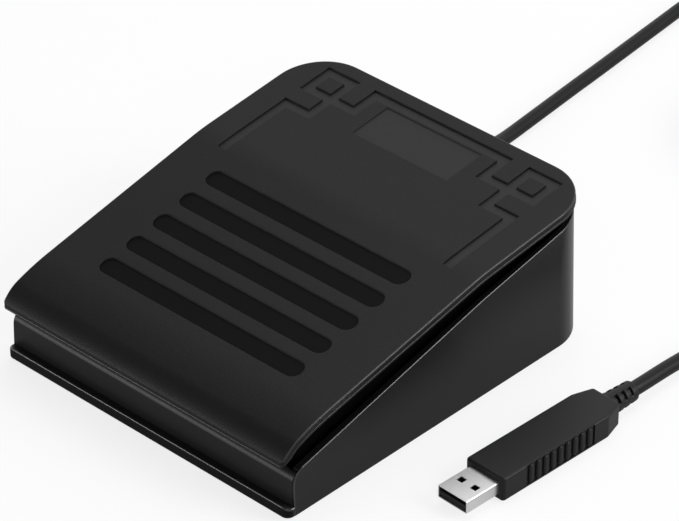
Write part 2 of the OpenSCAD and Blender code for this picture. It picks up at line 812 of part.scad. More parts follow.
module pedal_recesses() {
    translate([0, y_pedal, z_pedal]) rotate([rear_tilt, 0, 0]) {
        translate([0, 0, -fret_depth]) linear_extrude(fret_depth + past) key_fret();
        translate([-label_w / 2, -label_rear - label_l, -label_depth])
            cube([label_w, label_l, label_depth + past]);
    }
    // Grip bars, the first just behind the curl
    translate([0, curl_start[0], curl_start[1]]) rotate([front_tilt, 0, 0])
        for (i = [0:grip_count - 1])
            translate([0, grip_w + i * grip_pitch, -grip_depth])
                linear_extrude(grip_depth + past) {
                    square([grip_l - grip_w, grip_w], center = true);
                    for (s = [-1, 1]) translate([s * (grip_l - grip_w) / 2, 0]) circle(grip_w / 2);
                }
}

module pedal_plate() color("#303134") difference() {
    union() {
        pedal_skin();
        pedal_skirt();
        pedal_posts();
    }
    pedal_recesses();
    along_x(0, y_hinge, z_hinge, pin_r + run_gap, pin_l);
    for (s = [-1, 1])
        translate([s * spring_x, y_spring, z_seat - cup_deep - past])
            cylinder(h = cup_deep + past, r = spring_d / 2 + cup_play);
}

module hinge_pin() color("#b4b6ba") along_x(0, y_hinge, z_hinge, pin_r, pin_l);

module pin_clips() color("#8c8e92") {
    for (s = [-1, 1]) difference() {
        along_x(s * (clip_x + clip_t / 2), y_hinge, z_hinge, clip_r, clip_t);
        along_x(s * (clip_x + clip_t / 2), y_hinge, z_hinge, pin_r + hold_gap, 2 * clip_t);
    }
}

module return_spring_left() color("#a9abae") spring(-spring_x);

module return_spring_right() color("#a9abae") spring(spring_x);

// Switch and board

module circuit_board() color("#1f5a3a") difference() {
    translate([board_x - board_w / 2, y_board - board_l / 2, z_board]) cube([board_w, board_l, board_t]);
    for (s = [-1, 1], t = [-1, 1])
        translate([board_x + s * board_hole_x, y_board + t * board_hole_y, z_board - past])
            cylinder(h = board_t + 2 * past, r = board_screw_r + head_room);
    for (s = [-1:1])
        translate([s * switch_pin_pitch, y_switch, z_board - past])
            cylinder(h = board_t + 2 * past, r = switch_pin_r + fit_gap);
}

module board_screws() color("#b0b2b6") {
    for (s = [-1, 1], t = [-1, 1])
        translate([board_x + s * board_hole_x, y_board + t * board_hole_y, z_board_top])
            rotate([180, 0, 0])
                screw(board_screw_r, board_t + standoff_h - screw_short, board_head_r, board_head_h);
}

module switch_body() color("#1b1c1e") difference() {
    translate([-switch_w / 2, y_switch - switch_l / 2, z_board_top]) cube([switch_w, switch_l, switch_h]);
    translate([0, y_switch, z_switch_top - plunger_well])
        cylinder(h = plunger_well + past, r = plunger_d / 2 + plunger_play);
}

module switch_plunger() color("#c8321f") {
    translate([0, y_switch, z_switch_top - plunger_in])
        cylinder(h = plunger_in + plunger_out, r = plunger_d / 2);
}

module switch_pins() color("#c9a64a") {
    for (s = [-1:1])
        translate([s * switch_pin_pitch, y_switch, z_board - switch_pin_out])
            cylinder(h = board_t + switch_pin_out, r = switch_pin_r);
}

module controller_chip() color("#202124") {
    translate([chip_at[0], chip_at[1], z_board_top + leg_t + chip_size[2] / 2])
        cube(chip_size, center = true);
    for (s = [-1, 1], i = [0:chip_legs - 1])
        translate([
            chip_at[0] + (i - (chip_legs - 1) / 2) * chip_pitch,
            chip_at[1] + s * (chip_size[1] / 2 + leg_reach / 2 - lap / 2),
            z_board_top + leg_t
        ]) cube([leg_w, leg_reach + lap, 2 * leg_t], center = true);
}

module crystal_can() color("#c4c6c9") {
    translate([crystal_at[0], crystal_at[1], z_board_top]) linear_extrude(crystal_h) {
        square([crystal_l - crystal_w, crystal_w], center = true);
        for (s = [-1, 1]) translate([s * (crystal_l - crystal_w) / 2, 0]) circle(crystal_w / 2);
    }
}

module lead_header() color("#e8e6de") difference() {
    translate([header_at[0] - header_size[0] / 2, header_at[1], z_board_top]) cube(header_size);
    translate([
        header_at[0] - header_size[0] / 2 + header_wall,
        header_at[1] + header_size[1] - connector_in - fit_gap,
        z_board_top + header_wall
    ]) cube([header_size[0] - 2 * header_wall, header_size[1], header_size[2] - 2 * header_wall]);
}

connector_w = header_size[0] - 2 * header_wall - 2 * fit_gap;
connector_h = header_size[2] - 2 * header_wall - 2 * fit_gap;
connector_y = header_at[1] + header_size[1] - connector_in;
module lead_connector() color("#f0eee6") {
    translate([header_at[0] - connector_w / 2, connector_y, z_board_top + header_wall + fit_gap])
        cube([connector_w, connector_in + connector_out, connector_h]);
}

// Five wires fan out from the jacket's end to the connector
module inner_wires() {
    colours = ["#c02020", "#e6e6e6", "#2f8f3a", "#202020", "#d0b030"];
    z_end = z_board_top + header_wall + fit_gap + connector_h / 2;
    y_end = connector_y + connector_in + connector_out;
    for (i = [0:wire_count - 1]) {
        k = i - (wire_count - 1) / 2;
        x_end = header_at[0] + k * wire_pitch;
        from = [x_exit + k * wire_bunch_x, jacket_end, z_exit + (i % 2 == 0 ? -0.5 : 0.5) * wire_bunch_z];
        gap = y_end - jacket_end;
        path = [
            for (t = [0:0.1:1])
                let (bend = ease((t - wire_stub) / (1 - 2 * wire_stub)))
                [
                    from[0] + (x_end - from[0]) * bend,
                    jacket_end + gap * t,
                    from[2] + (z_end - from[2]) * bend
                ]
        ];
        color(colours[i]) tube(reversed(path), wire_r, 6);
    }
}

module inner_jacket() color("#2b2c2e") {
    translate([x_exit, jacket_start, z_exit]) rotate([90, 0, 0])
        cylinder(h = jacket_start - jacket_end, r = lead_r);
}

module lead_clamp() color("#3a3b3e") difference() {
    translate([x_exit - clamp_size[0] / 2, clamp_y - clamp_size[1] / 2, z_exit + lead_r + clamp_gap])
        cube(clamp_size);
    for (s = [-1, 1])
        translate([x_exit + s * clamp_boss_x, clamp_y, 0])
            cylinder(h = tall, r = clamp_screw_r + head_room);
}

module clamp_screws() color("#b0b2b6") {
    for (s = [-1, 1])
        translate([x_exit + s * clamp_boss_x, clamp_y, z_exit + lead_r + clamp_gap + clamp_size[2]])
            rotate([180, 0, 0])
                screw(clamp_screw_r, clamp_size[2] + clamp_screw_in, board_head_r, board_head_h);
}

function taper(y) = boot_r + (boot_end_r - boot_r) * y / boot_l;

// The boot in the rear wall: a flange inside, a neck in the wall and a ribbed taper outside
module lead_boot() color("#28292b") {
    rib = boot_l / (2 * boot_ribs + 1);
    outline = concat(
        [[0, -wall_t - boot_flange_t], [boot_flange_r, -wall_t - boot_flange_t], [boot_flange_r, -wall_t]],
        [[boot_neck_r, -wall_t], [boot_neck_r, 0], [boot_r, 0], [taper(rib), rib]],
        [
            for (i = [0:boot_ribs - 1]) each [
                [taper((2 * i + 1) * rib) - rib_cut, (2 * i + 1) * rib],
                [taper((2 * i + 2) * rib) - rib_cut, (2 * i + 2) * rib],
                [taper((2 * i + 2) * rib), (2 * i + 2) * rib],
                [taper((2 * i + 3) * rib), (2 * i + 3) * rib]
            ]
        ],
        [[0, boot_l]]
    );
    translate([x_exit, y_rear, z_exit]) rotate([-90, 0, 0]) rotate_extrude() polygon(outline);
}

// Lead

boot_end = [x_exit, y_rear + boot_l, z_exit];

// Each free stretch starts and ends straight, for one diameter of the lead
module lead_rear_run() color("#2b2c2e") tube(concat(
    [boot_end, boot_end + [0, lead_d, 0]],
    rear_route,
    [coil_in + [0, lead_d, 0], coil_in]
), lead_r, lead_sides);

module lead_coil() color("#2b2c2e") tube(coil_path, lead_r, coil_sides);

module lead_plug_run() color("#2b2c2e") tube(concat(
    [coil_out, coil_out + lead_d * coil_out_way],
    plug_route,
    [plug_end + lead_d * plug_axis, plug_end]
), lead_r, lead_sides);

// A tie round all the turns of the coil
module coil_tie() color("#1d1e20") {
    r_in = coil_r - coil_pitch * half_turns / 360 - lead_r - tie_gap;
    r_out = coil_r + lead_r + tie_gap;
    z_in = coil_z - lead_r - tie_gap;
    z_out = coil_z + coil_pitch + lead_r + tie_gap;
    translate([coil_at[0], coil_at[1], 0]) rotate([0, 0, tie_angle]) {
        difference() {
            translate([r_in - tie_t, -tie_w / 2, z_in - tie_t])
                cube([r_out - r_in + 2 * tie_t, tie_w, z_out - z_in + 2 * tie_t]);
            translate([r_in, -tie_w, z_in]) cube([r_out - r_in, 2 * tie_w, z_out - z_in]);
        }
        translate([(r_in + r_out - tie_head[0]) / 2, -tie_head[1] / 2, z_out + tie_t - tie_sink])
            cube(tie_head);
    }
}

// Plug

module on_plug() {
    translate([plug_at[0], plug_at[1], 0]) rotate([0, 0, -plug_turn]) children();
}

// The opening that the metal shell fills, and the shell's own outline, as (x, z)
module shell_outline(grow) {
    w = shell_w + 2 * grow;
    h = shell_h + 2 * grow;
    translate([0, grip_body_h / 2 - h / 2]) plan(w, 0, h, shell_corner_r + grow, shell_corner_r + grow);
}

// Extrudes an (x, z) outline from y0 towards the lead
module along_y(y0, l) {
    translate([0, y0 + l, 0]) rotate([90, 0, 0]) linear_extrude(l) children();
}

// The relief without its slots, along +Z from the rear of the grip
module relief_taper() {
    rotate_extrude() polygon([
        [0, -lap], [relief_r, -lap], [relief_r, 0], [relief_end_r, relief_l], [0, relief_l]
    ]);
}

// Slots round the relief let it bend, and four ribs bridge them
module plug_relief() {
    difference() {
        relief_taper();
        for (i = [0:relief_slots - 1])
            translate([0, 0, relief_first + i * relief_pitch]) difference() {
                cylinder(h = relief_slot, r = relief_r + past);
                translate([0, 0, -lap]) cylinder(h = relief_slot + 2 * lap, r = relief_core_r);
            }
    }
    intersection() {
        relief_taper();
        for (size = [[relief_rib, 2 * relief_r + past], [2 * relief_r + past, relief_rib]])
            translate([-size[0] / 2, -size[1] / 2, relief_rib_in])
                cube([size[0], size[1], relief_l - 2 * relief_rib_in]);
    }
}

module grip_block() {
    y_taper = grip_body_l - grip_taper_l;
    linear_extrude(grip_body_h) {
        plan(grip_body_w, 0, y_taper, grip_corner_r, grip_corner_r);
        polygon([
            [-grip_body_w / 2, y_taper - 2 * grip_corner_r], [grip_body_w / 2, y_taper - 2 * grip_corner_r],
            [grip_body_w / 2, y_taper], [grip_body_w / 2 - grip_taper_w, grip_body_l],
            [-grip_body_w / 2 + grip_taper_w, grip_body_l], [-grip_body_w / 2, y_taper]
        ]);
    }
}

module plug_grip() color("#2a2b2d") on_plug() difference() {
    union() {
        grip_block();
        translate([0, grip_body_l, grip_body_h / 2]) rotate([-90, 0, 0]) plug_relief();
    }
    // Finger grooves in both sides, which stop short of the top and the underside
    for (s = [-1, 1], i = [0:groove_count - 1])
        translate([
            s * (grip_body_w / 2 + groove_out), groove_start + i * groove_pitch, groove_edge
        ])
            cylinder(h = grip_body_h - 2 * groove_edge, r = groove_r);
    along_y(-past, shell_in + past) shell_outline(shell_fit);
}

module plug_shell() color("#c2c4c7") on_plug() difference() {
    along_y(-shell_out, shell_out + shell_in) shell_outline(0);
    along_y(-shell_out - past, shell_out + shell_in + 2 * past) shell_outline(-shell_t);
    for (s = [-1, 1])
        translate([
            s * shell_hole_x - shell_hole / 2, -shell_out + shell_hole_back - shell_hole / 2, -past
        ])
            cube([shell_hole, shell_hole, grip_body_h + 2 * past]);
}

tongue_z = grip_body_h / 2 - shell_h / 2 + shell_t;
module plug_tongue() color("#151618") on_plug() intersection() {
    along_y(-shell_out + tongue_back, shell_out + shell_in - tongue_back)
        shell_outline(-shell_t - shell_fit);
    translate([-shell_w / 2, -shell_out, 0]) cube([shell_w, shell_out + shell_in, tongue_z + tongue_t]);
}

module plug_contacts() color("#d2a83e") on_plug() {
    for (i = [0:3])
        translate([contact_x[i] - contact_w[i] / 2, -contact_l[i] + shell_in, tongue_z + tongue_t])
            cube([contact_w[i], contact_l[i] - contact_back, contact_t]);
}

base_tray();
side_shell();
tray_screws();
rubber_feet();
pedal_plate();
hinge_pin();
pin_clips();
return_spring_left();
return_spring_right();
circuit_board();
board_screws();
switch_body();
switch_plunger();
switch_pins();
controller_chip();
crystal_can();
lead_header();
lead_connector();
inner_wires();
inner_jacket();
lead_clamp();
clamp_screws();
lead_boot();
lead_rear_run();
lead_coil();
lead_plug_run();
coil_tie();
plug_grip();
plug_shell();
plug_tongue();
plug_contacts();
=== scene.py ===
# %% [markdown]
# # A foot pedal switch
#
# The object is a plastic pedal plate that hinges on a wedge base, with a lead and a USB plug.
# The CAD model gives every size and every joint. This script dresses it: it rounds edges, lays the
# lead, and gives each surface the finish of its real material, with highlights, light or shade painted
# into a few of them. Blender works in metres, and most sizes below are in millimetres, so MM turns one
# into the other.

# %% Load the imported model
import math

import bmesh
import bpy
from mathutils import Matrix, Vector
from mathutils.geometry import delaunay_2d_cdt


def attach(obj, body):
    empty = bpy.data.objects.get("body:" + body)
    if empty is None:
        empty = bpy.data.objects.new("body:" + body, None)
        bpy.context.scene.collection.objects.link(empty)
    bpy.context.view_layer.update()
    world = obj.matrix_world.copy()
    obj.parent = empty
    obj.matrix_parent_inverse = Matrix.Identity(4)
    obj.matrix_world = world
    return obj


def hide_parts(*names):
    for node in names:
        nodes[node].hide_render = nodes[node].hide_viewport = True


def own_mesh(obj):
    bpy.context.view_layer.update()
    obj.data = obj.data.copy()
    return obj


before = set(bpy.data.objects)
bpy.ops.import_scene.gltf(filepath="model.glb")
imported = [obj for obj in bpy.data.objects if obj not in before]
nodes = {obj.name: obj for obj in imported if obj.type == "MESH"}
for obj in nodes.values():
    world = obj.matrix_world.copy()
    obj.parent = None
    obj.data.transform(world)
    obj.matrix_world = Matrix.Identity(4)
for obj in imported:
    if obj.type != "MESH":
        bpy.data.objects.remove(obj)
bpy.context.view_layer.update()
scene = bpy.context.scene
MM = 0.001

# %% [markdown]
# ## Camera
#
# A product photograph like this one is taken from far away with a long lens, so parallel edges stay
# nearly parallel. The place below comes from fitting the known corners of the base to the picture.

# %% Camera
CAMERA_AT = Vector((0.74302, -0.76708, 0.76058))
CAMERA_LOOKS = Vector((-0.567917, 0.599535, -0.563939))
SENSOR_W, LENS, CLIP_FROM = 36, 219.62, 0.05
camera_data = bpy.data.cameras.new("camera")
camera_data.sensor_fit = "HORIZONTAL"
camera_data.sensor_width = SENSOR_W
camera_data.lens = LENS
camera_data.clip_start = CLIP_FROM
camera = bpy.data.objects.new("camera", camera_data)
camera.location = CAMERA_AT
camera.rotation_mode = "QUATERNION"
camera.rotation_quaternion = CAMERA_LOOKS.to_track_quat("-Z", "Y")
scene.collection.objects.link(camera)
scene.camera = camera
print("camera is", round(CAMERA_AT.length, 3), "m from the origin")

# %% [markdown]
# ## The lead
#
# The lead is one flexible cable. It leaves the boot, drops to the floor, runs out of the picture,
# lies in a tied coil there, and comes back to the plug. It could be a swept solid, but a curve with a
# round bevel suits it better: the curve is the cable's centre line. The route's points are those of
# the CAD model, and a Catmull-Rom spline goes through all of them, so the cable is smooth between.

# %% The lead's route
LEAD_D, FLOOR_GAP = 4.9 * MM, 0.05 * MM
LEAD_R = LEAD_D / 2
LEAD_Z = LEAD_R + FLOOR_GAP
BOOT_END = Vector((-26, 93.275, 10.2)) * MM
PLUG_AT, PLUG_TURN = Vector((93.4, -18.1, 4.3)) * MM, math.radians(2.3)
PLUG_AXIS = Vector((math.sin(PLUG_TURN), math.cos(PLUG_TURN), 0))
# Behind its metal shell the plug is a grip and a slotted relief, this long in mm
GRIP_L, RELIEF_L = 54.0, 11.5
PLUG_END = PLUG_AT + (GRIP_L + RELIEF_L) * MM * PLUG_AXIS
# Points on the floor give only x and y
REAR_ROUTE = [
    (-26.2, 103, 9.5), (-27, 110, 7.6), (-28.1, 117, 5.4), (-29.4, 126, 3.2), (-30.5, 134),
    (-31.9, 147), (-33.3, 160), (-34.7, 173), (-36, 186), (-37.4, 199), (-38.8, 212), (-40.2, 225),
    (-41.6, 238), (-42.1, 246), (-40.7, 255), (-36.4, 263), (-29, 269), (-19, 272), (-8.5, 270.5),
    (0.5, 265.5), (6.5, 257), (9, 246), (9, 234, 2.8), (9, 222, 3.5),
]
PLUG_ROUTE = [
    (48, 166.3, 8.1), (58, 162.7, 5.6), (67, 159, 3.6), (76.5, 154), (84.5, 147), (89.8, 139),
    (92.6, 129), (94, 118), (94.8, 106), (95.5, 94, 2.6), (96, 84, 2.9), (96.3, 74, 3.5),
    (96.3, 64, 4.1),
]
ROUTE_STEPS = 6


def on_route(points):
    return [Vector((*p, LEAD_Z / MM) if len(p) == 2 else p) * MM for p in points]


def smooth_line(points):
    """Catmull-Rom line through all the points."""
    line = []
    for i in range(len(points) - 1):
        a, b = points[max(i - 1, 0)], points[i]
        c, d = points[i + 1], points[min(i + 2, len(points) - 1)]
        for k in range(ROUTE_STEPS):
            t = k / ROUTE_STEPS
            line.append(0.5 * (2 * b + (c - a) * t + (2 * a - 5 * b + 4 * c - d) * t**2
                               + (3 * b - a - 3 * c + d) * t**3))
    return line + [points[-1]]


print("route:", len(REAR_ROUTE), "points to the coil and", len(PLUG_ROUTE), "to the plug")

# %% The coil
COIL_AT = Vector((44, 205, 0)) * MM
COIL_R, COIL_PITCH, COIL_Z = 35 * MM, 5.35 * MM, 3.85 * MM
COIL_TURNS, COIL_START, COIL_STEPS = 7.2, math.radians(180), 48
# The lower layer winds in, and within this part of a turn the lead climbs to the upper one
CLIMB_TURNS = 0.5


def coil_point(turn):
    half = COIL_TURNS / 2
    r = COIL_R - COIL_PITCH * (half - abs(turn - half))
    climb = min(max((turn - half) / CLIMB_TURNS + 0.5, 0), 1)
    z = COIL_Z + COIL_PITCH * climb * climb * (3 - 2 * climb)
    angle = COIL_START + 2 * math.pi * turn
    return COIL_AT + Vector((r * math.cos(angle), r * math.sin(angle), z))


coil_count = round(COIL_TURNS * COIL_STEPS)
coil = [coil_point(COIL_TURNS * i / coil_count) for i in range(coil_count + 1)]
end_angle = COIL_START + 2 * math.pi * COIL_TURNS
coil_out_way = Vector((-math.sin(end_angle), math.cos(end_angle), 0))
step_back = Vector((0, LEAD_D, 0))
coil_in, coil_out = coil[0] + step_back, coil[-1] + LEAD_D * coil_out_way
to_coil = smooth_line([BOOT_END, BOOT_END + step_back, *on_route(REAR_ROUTE),
                       coil_in + step_back, coil_in, coil[0]])
to_plug = smooth_line([coil[-1], coil_out, coil_out + LEAD_D * coil_out_way, *on_route(PLUG_ROUTE),
                       PLUG_END + LEAD_D * PLUG_AXIS, PLUG_END])
lead_line = to_coil[:-1] + coil + to_plug[1:]

# %% The lead's curve
# The bevel has a depth of 1, so each point's own radius is the lead's radius there
lead_data = bpy.data.curves.new("lead", "CURVE")
lead_data.dimensions = "3D"
lead_data.bevel_depth = 1.0
lead_data.bevel_resolution = 5
lead_data.use_fill_caps = True
spline = lead_data.splines.new("POLY")
spline.points.add(len(lead_line) - 1)
for point, place in zip(spline.points, lead_line):
    point.co = (*place, 1)
    point.radius = LEAD_R
spline.use_smooth = True
lead = bpy.data.objects.new("lead", lead_data)
scene.collection.objects.link(lead)
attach(lead, "base")
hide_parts("lead_rear_run", "lead_coil", "lead_plug_run")
print("lead is", round(LEAD_D / MM, 1), "mm thick")

# %% [markdown]
# ## Finishes
#
# Each material is named for what the real one is, and for the light or shade painted into it where
# there is some. Colours are written as sRGB hex values, as a paint shop or a colour picker gives them,
# and turned to linear values for the renderer. Nearly everything here is moulded plastic, so one
# function builds that finish from a colour, a gloss and a grain.

# %% Material helpers


def linear(code):
    channels = [int(code[i:i + 2], 16) / 255 for i in (1, 3, 5)]
    return (*[c / 12.92 if c <= 0.04045 else ((c + 0.055) / 1.055) ** 2.4 for c in channels], 1)


def add(tree, kind, links=None, **settings):
    """Adds a node: settings are its own, and links holds a value or another node's socket."""
    node = tree.nodes.new(kind)
    for key, value in settings.items():
        setattr(node, key, value)
    for socket, value in (links or {}).items():
        target = node.inputs[socket]
        if isinstance(value, bpy.types.NodeSocket):
            tree.links.new(value, target)
        else:
            target.default_value = value
    return node


def finish_of(name, **shader):
    material = bpy.data.materials.new(name)
    material.use_nodes = True
    tree = material.node_tree
    tree.nodes.clear()
    bsdf = add(tree, "ShaderNodeBsdfPrincipled", shader)
    add(tree, "ShaderNodeOutputMaterial", {"Surface": bsdf.outputs["BSDF"]})
    place = add(tree, "ShaderNodeTexCoord")
    return material, tree, bsdf, place.outputs["Object"]


def per_metre(size_mm):
    return 1 / (size_mm * MM)


print("mid grey #808080 is", round(linear("#808080")[0], 3), "in linear light")

# %% Moulded plastic
PLASTIC_IOR = 1.5
DRIFT_MM, DRIFT_DETAIL, GRAIN_DETAIL = 18, 3.0, 2.0


def moulded(name, dark, light, rough, grain_mm, grain_depth, spread=0.06, level=0.5):
    """A base colour that drifts a little, and a grain in the gloss and the bump."""
    shader = {"IOR": PLASTIC_IOR, "Specular IOR Level": level}
    material, tree, bsdf, place = finish_of(name, **shader)
    drift = add(tree, "ShaderNodeTexNoise",
                {"Vector": place, "Scale": per_metre(DRIFT_MM), "Detail": DRIFT_DETAIL})
    tint = add(tree, "ShaderNodeMix",
               {"Factor": drift.outputs["Fac"], "A": linear(dark), "B": linear(light)}, data_type="RGBA")
    grain = add(tree, "ShaderNodeTexNoise",
                {"Vector": place, "Scale": per_metre(grain_mm), "Detail": GRAIN_DETAIL})
    gloss = add(tree, "ShaderNodeMapRange",
                {"Value": grain.outputs["Fac"], "To Min": rough - spread, "To Max": rough + spread})
    bump = add(tree, "ShaderNodeBump",
               {"Height": grain.outputs["Fac"], "Strength": 1.0, "Distance": grain_depth * MM})
    tree.links.new(tint.outputs["Result"], bsdf.inputs["Base Color"])
    tree.links.new(gloss.outputs["Result"], bsdf.inputs["Roughness"])
    tree.links.new(bump.outputs["Normal"], bsdf.inputs["Normal"])
    return material


# %% [markdown]
# ## Plastics, rubber and metals
#
# One pixel of this picture is about 0.3 mm wide on the object. The real grain of these surfaces is
# finer, from about 0.15 mm on the pedal to 0.02 mm on the polished parts, so all grains below are drawn
# coarser than they are, at 0.5 mm or more, to show at all.

# %% Plastics of the pedal
# ABS from a spark-eroded mould: a dull black with a fine grain, which catches the rear light
PEDAL_ABS = moulded("abs_spark_textured", "#111112", "#151516", 0.42, 0.5, 0.05, level=0.17)
# The pedal's edges: a lighter grey painted on as a highlight line, and glossier than the top
PEDAL_HIGHLIGHT_ABS = moulded("abs_worn_edge", "#1a1a1b", "#1e1e1f", 0.36, 1.0, 0.01, level=0.55)
# ABS from a polished part of the mould: a deeper black for the bars, with no grain to scatter light; on
# the parts under the plate the same black is painted shade
BAR_AND_SHADE_ABS = moulded("abs_polished", "#08080a", "#0b0b0c", 0.45, 1.5, 0.004, level=0.05)
# The fret's floor is etched more finely than the top, so it looks a little lighter
FRET_ABS = moulded("abs_fine_etched", "#1b1b1c", "#1f1f20", 0.46, 0.8, 0.01, level=0.25)
# A blank polyester label: flat and even, a shade lighter than the plastic round it
LABEL_FILM = moulded("polyester_label_blank", "#1e1e1f", "#212122", 0.5, 2.0, 0.003, level=0.23)
print(len(bpy.data.materials), "materials")

# %% Plastics of the base
# Satin ABS of the shell: smooth walls with broad, soft reflections
SHELL_ABS = moulded("abs_satin", "#121213", "#151516", 0.25, 1.2, 0.003, spread=0.04, level=0.25)
# Parting edges: smoother than the walls, with a lighter grey painted on as a highlight, so they show as
# thin bright lines
EDGE_HIGHLIGHT_ABS = moulded("abs_polished_edge", "#1c1c1d", "#202021", 0.24, 1.5, 0.003, spread=0.04, level=0.8)
# The front roll: rougher, with a lighter grey painted on as a highlight, so its light line is broad and
# soft
ROLL_HIGHLIGHT_ABS = moulded("abs_scuffed_roll", "#1a1a1b", "#1e1e1f", 0.5, 1.0, 0.01, level=0.55)
# The tray's front wall: less glossy than the shell, with a lighter grey painted on as light that fills
# the shade towards its foot
FRONT_PAINTED_LIGHT_ABS = moulded("abs_semi_matt", "#1f1f20", "#222223", 0.4, 1.2, 0.005, level=0.15)
# The lip's front: a darker grey painted on as shade, and little gloss, so it stays darker than the wall
# above it
LIP_SHADE_ABS = moulded("abs_dull", "#0d0d0e", "#101011", 0.5, 1.0, 0.01, level=0.1)
print(len(bpy.data.materials), "materials")

# %% Lead, plug and small parts
# Extruded PVC: a soft sheen along the lead
JACKET_PVC = moulded("pvc_jacket", "#121213", "#161617", 0.42, 0.8, 0.006, level=0.22)
# PVC moulded over the plug: duller than the lead
GRIP_PVC = moulded("pvc_overmould", "#111112", "#141415", 0.44, 0.6, 0.008, level=0.27)
# Rubber: no shine at all, and a coarse dusty grain
FOOT_RUBBER = moulded("rubber_foot", "#141415", "#19191a", 0.75, 0.5, 0.02, level=0.3)
# Nylon: tough and slightly waxy
BLACK_NYLON = moulded("nylon_black", "#0f0f10", "#131314", 0.45, 1.0, 0.006, level=0.3)
WHITE_NYLON = moulded("nylon_natural", "#dedbd0", "#e8e5da", 0.45, 1.0, 0.006)
RED_NYLON = moulded("nylon_red", "#b02c1e", "#bc3424", 0.4, 1.0, 0.004)
# Solder mask: a glossy green lacquer over glass cloth
BOARD_MASK = moulded("solder_mask_green", "#124a2c", "#185a36", 0.3, 3.0, 0.01)
print(len(bpy.data.materials), "materials")

# %% Plated metals
PLATE_DETAIL, SHINIER, DULLER = 3.0, 0.05, 0.08


def plated(name, code, rough, grain_mm, grain_depth):
    """A bare metal surface with a faint grain in its gloss and its bump."""
    material, tree, bsdf, place = finish_of(name, **{"Base Color": linear(code), "Metallic": 1.0})
    grain = add(tree, "ShaderNodeTexNoise",
                {"Vector": place, "Scale": per_metre(grain_mm), "Detail": PLATE_DETAIL})
    gloss = add(tree, "ShaderNodeMapRange",
                {"Value": grain.outputs["Fac"], "To Min": rough - SHINIER, "To Max": rough + DULLER})
    bump = add(tree, "ShaderNodeBump",
               {"Height": grain.outputs["Fac"], "Distance": grain_depth * MM})
    tree.links.new(gloss.outputs["Result"], bsdf.inputs["Roughness"])
    tree.links.new(bump.outputs["Normal"], bsdf.inputs["Normal"])
    return material


# Nickel on the plug's shell: bright, with soft mirror images
NICKEL = plated("nickel_plate", "#ededed", 0.3, 1.2, 0.002)
# Zinc on steel screws and springs: greyer and duller
ZINC = plated("zinc_plated_steel", "#b7b9bc", 0.35, 0.8, 0.004)
# A thin gold coat on contacts: warm yellow
GOLD = plated("gold_flash", "#e0b45a", 0.25, 0.8, 0.002)
print(len(bpy.data.materials), "materials")

# %% [markdown]
# ## Making a piece from loops
#
# Most pieces here are moulded plastic: a shape with soft edges. Such a shape is a stack of outlines:
# each loop is the outline at one height, and the loops close in round an edge. Joining each loop to
# the next gives clean rows of faces, which a modelled-then-bevelled block would not.

# %% Loops to a mesh
FLAT_WEIGHT = 80
# Points, and corners of further triangles, that are this close in metres are one
SAME_POINT, SAME_CORNER = 1e-7, 1e-6


def join_loops(loops, points, faces):
    """Adds rows of faces between loops of equal length, and returns where each loop starts."""
    starts = []
    for loop in loops:
        starts.append(len(points))
        points.extend(loop)
    count = len(loops[0])
    for low, high in zip(starts, starts[1:]):
        for i in range(count):
            j = (i + 1) % count
            faces.append((low + i, low + j, high + j, high + i))
    return starts


def bake(piece):
    """Applies the modifiers, so that the piece is a plain mesh."""
    ready = piece.evaluated_get(bpy.context.evaluated_depsgraph_get())
    baked = bpy.data.meshes.new_from_object(ready)
    piece.modifiers.clear()
    piece.data = baked
    baked.name = piece.name
    return piece


def weigh_normals(piece):
    """Shades large faces flat, and lets only the narrow ones between them turn the light."""
    normals = piece.modifiers.new("normals", "WEIGHTED_NORMAL")
    normals.weight = FLAT_WEIGHT
    normals.keep_sharp = True
    return bake(piece)


def new_piece(name, points, faces, zones=None, sharp=40, also=(), also_zone=0):
    """A closed piece from points in mm; zones gives the material slot of each face, and also is a
    list of further triangles, each a list of points that already run the right way round."""
    mesh = bpy.data.meshes.new(name)
    mesh.from_pydata([Vector(p) * MM for p in points], [], faces)
    if zones:
        mesh.polygons.foreach_set("material_index", zones)
    bm = bmesh.new()
    bm.from_mesh(mesh)
    bmesh.ops.remove_doubles(bm, verts=bm.verts, dist=SAME_POINT)
    bmesh.ops.recalc_face_normals(bm, faces=bm.faces)
    extra = [bm.verts.new(Vector(p) * MM) for corners in also for p in corners]
    for i in range(0, len(extra), 3):
        bm.faces.new(extra[i:i + 3]).material_index = also_zone
    bmesh.ops.remove_doubles(bm, verts=extra, dist=SAME_CORNER)
    bm.to_mesh(mesh)
    bm.free()
    mesh.shade_smooth()
    mesh.set_sharp_from_angle(angle=math.radians(sharp))
    piece = bpy.data.objects.new(name, mesh)
    scene.collection.objects.link(piece)
    print(name, "has", len(mesh.polygons), "faces")
    return weigh_normals(piece)


# %% [markdown]
# ## The pedal's line
#
# Seen from the side, the top of the pedal is a chain of straight runs and arcs: a gentle rear zone,
# a bend, a steeper front zone, a soft curl and the nose. Each sample keeps its place along the line,
# so that everything on the pedal can be laid out flat and then wrapped onto it.

# %% The line from the rear edge to the nose
REAR_Y, REAR_Z, REAR_SLOPE = 71.075, 52.2, 6.5
# Each run: its length to the front or its radius, the slope at its end, and its samples
RUNS = [("straight", 50.5, 6.5, 1), ("arc", 80, 12, 6), ("straight", 64.416, 12, 1),
        ("arc", 85, 21.4, 8), ("arc", 13, 60, 12)]


